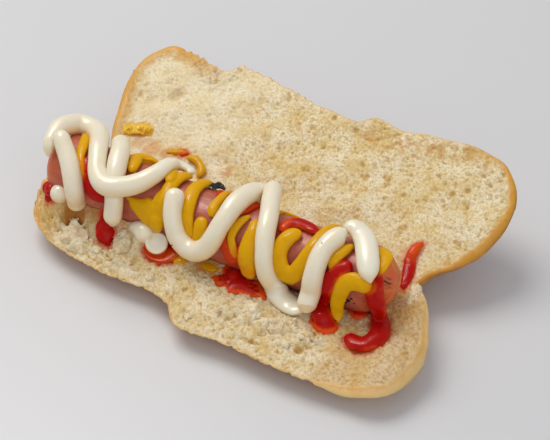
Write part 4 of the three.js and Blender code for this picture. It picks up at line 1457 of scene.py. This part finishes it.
def nearHalfMesh():
    left, right = nearHalf["outerEdge"][0][0], nearHalf["outerEdge"][-1][0]
    outerEdge = raggedEdge(nearOuter, nearHalf["raggedness"], -50, 66, 203)
    x, low, high, share, gridX, across, onCrumb = halfGrid(left, right, outerEdge, nearHinge)
    onTop = crumbOnly(onCrumb, across)
    shape = across.shape
    flat = np.stack([gridX, across], -1).reshape(-1, 2)
    lowBand = 0.5 + 5.0 * smoothRise(x, 58, 74) + 2.2 * (1 - smoothRise(x, -66, -58))
    highBand = 1.2 + 4.6 * smoothRise(x, 76, 86) + 1.6 * (1 - smoothRise(x, -66, -58))
    lowFall, highFall = 0.3 + 0.42 * lowBand, 0.3 + 0.42 * highBand
    outline = rimLine(x, [low, lowBand, lowFall], [high, highBand, highFall])
    distance, which = nearest(flat, outline[:, :2])
    band, fall = outline[which, 2:].T

    px, py = flat[:, 0], flat[:, 1]
    torn = 0.2 + 0.6 * smoothRise(-py, 10, 20) * (1 - smoothRise(px, 52, 62)) * smoothRise(px, -60, -50)
    relief, poreShade = crumbRelief(flat, torn, 300)
    ragged = 0.5 * softNoise(flat, 1.8, 9)
    shrink = 1 - 0.45 * smoothRise(px, 60, 74)
    crust = 1 - smoothRise(distance + ragged, 0.55 * band * shrink, 1.1 * band * shrink)
    # painted shade: each hollow is browned by its depth
    brown = np.zeros(len(flat))
    for holeX, holeY, alongRadius, acrossRadius, depth, paintedShade in nearCrumbDetail["hollows"]:
        squared = ((px - holeX) / alongRadius) ** 2 + ((py - holeY) / acrossRadius) ** 2
        bowl = np.clip(1 - (squared + 0.4 * softNoise(flat, 2.0, 13)), 0, 1) ** 0.6
        relief -= depth * bowl
        poreShade = np.maximum(poreShade, bowl)
        brown = np.maximum(brown, paintedShade * bowl)
    for lumpX, lumpY, radius in nearCrumbDetail["lumps"]:
        away = np.hypot(px - lumpX, py - lumpY) / radius + 0.25 * softNoise(flat, 1.7, 17)
        relief += 0.55 * radius * np.sqrt(np.clip(1 - away ** 2, 0, 1))
    rimDrop = nearHalf["rimDrop"] * (1 - smoothRise(py - nearOuter(px), 0, nearHalf["rimWidth"]))
    height = nearCrumb(px, py) + rimDrop - shoulder(distance, band, fall)
    height += relief * (1 - crust) * (0.4 + 0.6 * smoothRise(distance, 0, 1.2))
    # room for the sausage: the crumb stays under its round belly
    fromEnd = np.minimum(px - sausage["leftEnd"], sausage["rightEnd"] - px)
    roundness = np.sqrt(1 - (1 - np.clip(fromEnd / sausage["roundLength"], 0, 1)) ** 2)
    belly = (sausage["radius"] + nearCrumbDetail["trough"]) * roundness
    under = axisHeight(px) - np.sqrt(np.clip(belly ** 2 - py ** 2, 0, None))
    height = np.where((fromEnd > 0) & (np.abs(py) < belly), np.minimum(height, under), height)

    along = (x - left) / (right - left)
    full = np.sin(np.pi * along) ** 0.5
    hang = nearHalf["depth"] * full[:, None] * (1 - (2 * share - 1) ** 2)
    lowLine, highLine = nearCrumb(x, low) + nearHalf["rimDrop"], nearCrumb(x, high)
    edgeLine = lowLine[:, None] * (1 - share) + highLine[:, None] * share
    edgeFall = lowFall[:, None] * (1 - share) + highFall[:, None] * share
    bottom = edgeLine - np.sqrt(edgeFall ** 2 + hang ** 2)
    height = np.where(onCrumb, height.reshape(shape), bottom)

    onCrust = np.broadcast_to(~onCrumb, shape)
    middlePart = plateau(gridX, -60, -56, 58, 66)
    wander = 0.012 * softNoise(flat, 4.0, 23).reshape(shape)
    skinned = 1 - middlePart * (1 - smoothRise(share + wander, 0.012, 0.035))
    crust = np.where(onCrust, skinned, crust.reshape(shape))
    inBand = (1 - np.clip(distance / band, 0, 1)).reshape(shape)
    rightward = smoothRise(gridX, 56, 76)
    leftCap = 1 - smoothRise(gridX, -63, -56)
    strip = np.exp(-((inBand - 0.66 + 0.06 * softNoise(flat, 5, 24).reshape(shape)) / 0.14) ** 2)
    rim = 0.16 * (1 - rightward) * (1 - leftCap) + rightward * (0.02 + 0.22 * strip) + 0.18 * leftCap
    bake = np.where(onCrust, 0.40 - 0.22 * rightward - 0.10 * leftCap + 0.26 * smoothRise(hang, 1, 8), rim)

    rings = np.stack([gridX, across, height], -1)
    normal = ringNormals(rings)
    points = rings.reshape(-1, 3)
    crustFlat = crust.ravel()
    folds = np.sin(np.arctan2(py + 8, px - 62) * 26 + 2.2 * softNoise(flat, 9, 19))
    folded = 0.14 * folds * smoothRise(px, 62, 74) * smoothRise(crustFlat, 0.2, 0.8)
    dents = 0.25 * layeredNoise(points, 9, 3, 61) + 0.08 * layeredNoise(points, 2.4, 3, 63) + folded
    dents += 0.2 * layeredNoise(points, 1.5, 3, 65) * smoothRise(px, 58, 70)
    dents *= smoothRise(distance, 0.2, 2.5)
    points = points + normal.reshape(-1, 3) * (dents * crustFlat)[:, None]
    leftTip = 1 - smoothRise(px, -58, -49)
    rough = leftTip * (1.5 * layeredNoise(points, 2.8, 4, 67) + 0.4 * np.abs(softNoise(points, 1.1, 68)))
    points[:, 2] += rough * onTop
    loose = breadShape["jitter"] * (1 - crustFlat) * (0.5 + 1.2 * torn)
    points = points + jitterOf(points, loose, 71)
    points[:, 2] = np.maximum(points[:, 2], 0)
    rings = points.reshape(rings.shape)

    closed = closeEnds(rings)
    red, yellow, white = sauceStains(closed, 81)
    cap = 1 - smoothRise(px + 2.5 * softNoise(flat, 2.5, 83), -57, -49)
    cap *= 0.6 + 0.4 * smoothRise(softNoise(flat, 1.6, 84), -0.2, 0.3)
    warmEnd = smoothRise(px, 54, 66)
    # painted shade: the crumb wall against the sausage's underside on the left is browned
    shadedWall = plateau(px, -56, -52, -35, -30) * smoothRise(py + 2 * softNoise(flat, 2.6, 86), -16, -12)
    fluffAndLight = smoothRise(layeredNoise(flat, 4.5, 3, 88), -0.1, 0.4) * torn * (1 - cap) * (1 - warmEnd)
    speckled = warmEnd * smoothRise(layeredNoise(flat, 1.6, 2, 85), 0.0, 0.45)
    # the toast mask: painted shade of the hollows and the wall, with the golden cap, the speckled right end
    # and uneven toasting
    toastAndShade = np.maximum(brown, 0.12 * cap) + 0.25 * speckled + 0.2 * warmEnd + 0.75 * shadedWall
    toastAndShade = np.clip(toastAndShade + 0.06 + 0.08 * softNoise(flat, 4.0, 89), 0, 1) * onTop
    yellow = np.maximum(yellow, padded((0.52 * cap + 0.14 * warmEnd) * (1 - 0.4 * poreShade)))
    red, yellow = addStains(red, yellow, nearCrumbDetail["stains"], flat, onTop, 1.3, 2.2, 87, 0.4)
    masks = {
        "poreShade": padded(poreShade * onTop),
        "toastAndShade": padded(toastAndShade),
        "fluffAndLight": padded(0.6 * fluffAndLight * onTop),
        "crust": padded(crustFlat, 1.0),
        "bake": padded(bake, 0.4),
        "red": 0.8 * red, "yellow": 0.8 * yellow,
        "wet": np.maximum(0.85 * np.maximum(red, yellow), 0.3 * white),
    }
    quads, triangles = skinFaces(*rings.shape[:2])
    return meshFrom("bread_near_half", closed, quads, triangles, masks)


addPiece("bread_near_half", nearHalfMesh(), breadMaterial, ["bun"])
print("near half of the roll made")

tufts = {
    # [x, y, radius] of clumps of torn crumb that stand on the near half
    "clumps": [
        [-49.8, -17.4, 1.9], [-47.8, -15.2, 1.3], [-45.2, -16, 1.5], [-41.5, -16.8, 1.5], [-29.6, -15, 1.2],
        [-26, -14.2, 1.1], [-44, -18.4, 2.4], [-46, -21.3, 2.4], [-41, -20, 2.4], [-37.5, -21.6, 2.0],
        [-33.5, -21.5, 1.7], [-24, -22.5, 1.5], [20.5, -26.5, 2.2], [26, -25, 1.9], [31, -24, 2.2],
        [36.5, -26, 1.8],
        [43.5, -20.6, 1.8], [48.5, -25, 2.0], [54.5, -24.5, 1.6], [47, -30, 1.6], [11.5, -34.5, 1.4],
        [-10, -24, 1.4],
    ],
    "perClump": 12,
    # [outline, height] of the larger torn pieces, the last one at the join
    "flaps": [
        ([
            [-50, -16.5], [-48, -14.8], [-43.5, -15.8], [-39.5, -17.2], [-37.8, -22], [-41, -24.5],
            [-46, -23.5], [-49.5, -20],
        ], 2.6),
        ([[-30, -16], [-28.5, -13.8], [-25.6, -14], [-23.6, -16.5], [-24.3, -20], [-27.5, -20.8]], 3.6),
        ([[25.5, -21.5], [26.5, -18.7], [30, -20], [34, -23], [33, -26], [28, -25]], 3.0),
        ([[37, -25], [40.5, -23.5], [42, -20.8], [45.5, -22], [44, -26.5], [39.5, -28]], 2.8),
        ([[70, 15], [72, 15], [74.3, 10], [75, 5], [74, 1], [72, 5]], 0.9),
    ],
    "voxel": 0.28,
}


def ballRings(centre, radii, turn, tilt=0.0, rows=9, around=12):
    # a small oval: rings of sin(v) at height cos(v), tilted and then turned about the vertical
    v = np.linspace(0, np.pi, rows + 2)[1:-1, None]
    u = np.linspace(0, 2 * np.pi, around, endpoint=False)[None]
    a, b, c = radii
    x = a * np.sin(v) * np.cos(u)
    y = b * np.sin(v) * np.sin(u)
    z = np.broadcast_to(c * np.cos(v), (rows, around))
    y, z = y * np.cos(tilt) - z * np.sin(tilt), y * np.sin(tilt) + z * np.cos(tilt)
    turned = [x * np.cos(turn) - y * np.sin(turn), x * np.sin(turn) + y * np.cos(turn), z]
    return np.stack(turned, -1) + centre


def tuftMesh():
    random = np.random.default_rng(12)
    skins = []
    for x, y, radius in tufts["clumps"]:
        base = np.array([x, y, float(nearCrumb(x, y))])
        skins.append(ballRings(base, (0.85 * radius, 0.7 * radius, 0.75 * radius), random.uniform(0, np.pi)))
        for _ in range(tufts["perClump"]):
            away = random.normal(0, 0.45, 3) * radius * np.array([1.1, 0.85, 0.5])
            size = radius * random.uniform(0.25, 0.6)
            form = [random.uniform(0.8, 1.3), random.uniform(0.5, 0.9), random.uniform(0.25, 0.5)]
            radii = size * np.array(form)
            centre = base + [0, 0, 0.35 * radius] + away
            skins.append(ballRings(centre, radii, random.uniform(0, np.pi), random.uniform(-1.2, 1.2)))
    skins += [patch(overNear, outline, high, 1.0) for outline, high in tufts["flaps"]]
    mesh = fused("crumb_tufts", skins, tufts["voxel"], 3)
    points = pointsOf(mesh)
    bumpy = layeredNoise(points, 3.0, 4, 5)
    ridges = 0.3 - np.abs(layeredNoise(points, 1.3, 3, 6))
    points = points + normalsOf(mesh) * (1.1 * bumpy + 0.7 * ridges)[:, None]
    points = points + jitterOf(points, np.full(len(points), 0.2), 47)
    movePoints(mesh, points)
    red, yellow, white = sauceStains(points, 81)
    # painted shade: the low places between ridges and bumps take the pore tan
    for mask, values in {
        "poreShade": 0.9 * np.clip(0.15 - ridges - 0.5 * bumpy, 0, 1), "fluffAndLight": 0 * red + 0.55,
        "toastAndShade": np.clip(0.1 + 0.3 * softNoise(points, 3.0, 48), 0, 1), "crust": 0 * red,
        "bake": 0 * red, "red": 0.7 * red, "yellow": 0.7 * yellow, "wet": 0.2 * white,
    }.items():
        setMask(mesh, mask, values)
    return mesh


addPiece("crumb_tufts", tuftMesh(), breadMaterial, ["bun"])
print("torn crumb made")

# sausage

def sausageMesh():
    # a round section carried along the bowed axis; each end closes as a quarter circle, the
    # right one with gathers as the cosine of the turn, drawn in around its middle
    count, around = sausage["stationCount"], sausage["around"]
    length = sausage["rightEnd"] - sausage["leftEnd"]
    distance = stations(length, count, sausage["tipLength"])
    x = sausage["leftEnd"] + distance
    angle = np.linspace(0, 2 * np.pi, around, endpoint=False)
    leftShare = np.clip(distance / sausage["leftRoundLength"], 0, 1)
    rightShare = np.clip((length - distance) / sausage["roundLength"], 0, 1)
    full = np.sqrt(1 - (1 - np.minimum(leftShare, rightShare)) ** 2)
    swell = 1 + sausage["swell"] * np.sin(x / sausage["swellLength"]) + 0.06 * np.exp(-((x + 58) / 7) ** 2)
    gathered = smoothRise(x, sausage["rightEnd"] - 0.8 * sausage["roundLength"], sausage["rightEnd"])
    wander = 0.35 * np.sin(2 * angle + 1.0) + 0.2 * np.sin(5 * angle)
    pleats = 0.5 + 0.5 * np.cos(sausage["folds"] * (angle + wander))
    fold = 1 - sausage["foldDepth"] * gathered[:, None] * pleats ** 0.7
    radius = sausage["radius"] * (full * swell)[:, None] * fold
    gridX = np.broadcast_to(x[:, None], radius.shape)
    drawnIn = 1.6 * np.clip(1 - radius / 5.5, 0, 1) ** 1.5 * (gridX > 0)
    rings = np.stack([
        gridX - drawnIn, radius * np.cos(angle), axisHeight(gridX) + radius * np.sin(angle),
    ], -1)
    points = rings.reshape(-1, 3)
    wrinkles = 0.05 * layeredNoise(points, 3.0, 3, 5) + 0.05 * softNoise(points * [0.3, 1, 1], 1.3, 7)
    dents = 0.22 * layeredNoise(points * [0.6, 1, 1], 14, 2, 9)
    points = points + ringNormals(rings).reshape(-1, 3) * (wrinkles + dents)[:, None]
    closed = closeEnds(points.reshape(rings.shape))
    rightGlaze = smoothRise(points[:, 0] + 1.5 * softNoise(points, 5, 11), 60, 68)
    nearEnd = np.maximum(rightGlaze, 0.75 * (1 - smoothRise(points[:, 0], -64, -52)))
    # painted shade: the valleys of the pleats at the tied end are darkened
    creaseShade = (gathered[:, None] * np.clip(pleats, 0, 1) ** 8).ravel() * 0.3
    # painted shade: dark strokes drawn along the gathers at the tied end
    along = (closed[:, 0] - 71.0) * 0.5 + (closed[:, 1] + 5.5) * 0.8
    rise = closed[:, 2] - axisHeight(71.0) - 4.5
    paintedShade = np.zeros(len(closed))
    for shift, drop, halfLength, depth in sausage["creaseShadeLines"]:
        aside = np.abs(rise - drop + 0.75 * (along - shift) + 0.12 * np.sin(2.5 * along))
        reach = 1 - smoothRise(np.abs(along - shift), 0.3 * halfLength, halfLength)
        stroke = (1 - smoothRise(aside, 0.12, 0.5)) * reach
        paintedShade = np.maximum(paintedShade, depth * stroke * (closed[:, 0] > 66))
    red = sauceStains(closed, 91)[0]
    flankFilm = 1 - smoothRise(np.hypot(closed[:, 0] - 68.5, closed[:, 1] + 11.5), 2.5, 6)
    masks = {
        "end": padded(nearEnd, 1.0),
        "creaseShade": np.clip(padded(creaseShade) + paintedShade, 0, 1),
        "film": np.maximum(0.6 * red, 0.55 * flankFilm),
    }
    quads, triangles = skinFaces(count, around)
    return meshFrom("sausage_skin", closed, quads, triangles, masks)


addPiece("sausage_skin", sausageMesh(), skinMaterial, ["sausage"])
print("sausage made")

# sauces

# where a sauce lies thin and lets the ground through: [axis, from, to, how much]
sheer = {
    "ketchup_far_streak": [
        1, 17, 24, 1.0], "ketchup_under_curl": [1, -11, -13, 0.7], "ketchup_middle": [2, 13, 18, 0.55,
    ],
    "ketchup_arch": [0, 33, 30, 0.7], "mustard_far_blob": [0, -90, -80, 0.9],
}
lumpy = {"mustard_far_blob": 0.45, "ketchup_far_streak": 0.15}  # sauces that have begun to dry and crumble
sauceVoxel = 0.26  # cell of the remesh that runs a sauce's strands together
sauceNames = {id(ketchup): "ketchup", id(mustard): "mustard", id(mayonnaise): "mayonnaise"}


for name, sauce, lines in laid:
    # mayonnaise keeps most strands apart, with a crease where one lies over another; thinner
    # sauces run together
    kind = sauceNames[id(sauce)]
    skins = [strandRings(sauce, line, salt=3 + 2 * i) for i, line in enumerate(lines)]
    title = name.replace("mayo", "mayonnaise") + "_sauce"
    groups = joined.get(name, [list(range(len(lines)))])
    for number, group in enumerate(groups):
        label = title if len(groups) == 1 else f"{title}_{number + 1}"
        more = patches.get(name, []) if number == 0 else []
        smoothing = 3 if kind == "mayonnaise" else 4
        mesh = fused(label, [skins[i] for i in group] + more, sauceVoxel, smoothing)
        points = pointsOf(mesh)
        uneven = 0.3 * layeredNoise(points, 2.0, 2, 17)
        # middles of strands and patches; how far out a point lies, 1 at the skin of a strand
        halfWidth = sauce["halfWidth"]
        middles = [np.column_stack([lines[i]["points"], lines[i]["wide"] - halfWidth])[::2] for i in group]
        for rings in more:
            inner = rings[:9:2, ::3].reshape(-1, 3)
            middles.append(np.column_stack([inner, np.full(len(inner), -0.62 * halfWidth)]))
        outward = clearance(points, np.vstack(middles)) / halfWidth
        waviness = 0.1 if kind == "mayonnaise" else 0.5
        thinAndShade = smoothRise(outward + waviness * uneven, 0.8, 1.3) * sauceLooks[kind]["thinning"]
        if kind == "mayonnaise":
            # painted shade: where a rope's surface faces down, its flank takes the warmer thin colour
            thinAndShade = np.maximum(thinAndShade, 0.75 * (1 - smoothRise(normalsOf(mesh)[:, 2], -0.3, 0.75)))
        if name in sheer:
            axis, start, end, most = sheer[name]
            thinAndShade = np.maximum(thinAndShade, most * smoothRise(points[:, axis] + 2 * uneven, start, end))
        setMask(mesh, "thinAndShade", thinAndShade)
        other = redPoints if kind == "mustard" else yellowPoints
        mixed = 1 - smoothRise(clearance(points, other) + 2 * uneven, -0.3, 1.1)
        setMask(mesh, "mixed", mixed * sauceLooks[kind]["mixing"])
        if name in lumpy:
            points = points + lumpy[name] * jitterOf(points, np.ones(len(points)), 19)
            movePoints(mesh, points)
        addPiece(label, mesh, sauceMaterials[kind], [name])
print("sauces made")

specks = {
    "flake": [[-6, -38], [-4, -44], [-0.5, -44], [1.5, -38], [0, -28], [-1.5, -16], [-4, -24]],
    # [x, turn, height over the sausage, radius] of char and of ground pepper
    "grains": [
        [-4.5, 87, 6.6, 0.32], [47, 27, 6.1, 0.3], [46.2, 60, 6.1, 0.22], [56, 98, 0.2, 0.5],
        [57.5, 92, 0.2, 0.35], [59, 96, 0.1, 0.6],
        [60, 90, 0.1, 0.4], [58, 103, 0.0, 0.45], [61, 99, 0.0, 0.35], [5, 0, 1.6, 0.3],
        [6.5, -12, 1.8, 0.35], [3.5, -24, 1.4, 0.3],
    ],
}


def speckMesh():
    # a crinkled flake of burnt skin and single grains, all as one mesh
    flake = patch(overSausage, specks["flake"], 2.2, -0.9)
    grains = [
        ballRings(overSausage(x, turn, high), (radius * 1.3, radius, radius * 0.8), x)
        for x, turn, high, radius in specks["grains"]
    ]
    mesh = fused("char_and_pepper", [flake] + grains, 0.2, 1)
    points = pointsOf(mesh)
    onFlake = (points[:, 0] < 3) & (points[:, 1] > 0)
    pushes = [softNoise(points, 1.7, 31 + k) + 0.5 * softNoise(points, 0.8, 41 + k) for k in range(3)]
    movePoints(mesh, points + 0.9 * np.stack(pushes, -1) * onFlake[:, None])
    return mesh


addPiece("char_and_pepper", speckMesh(), charMaterial)
print("char and pepper made")

bpy.context.view_layer.update()
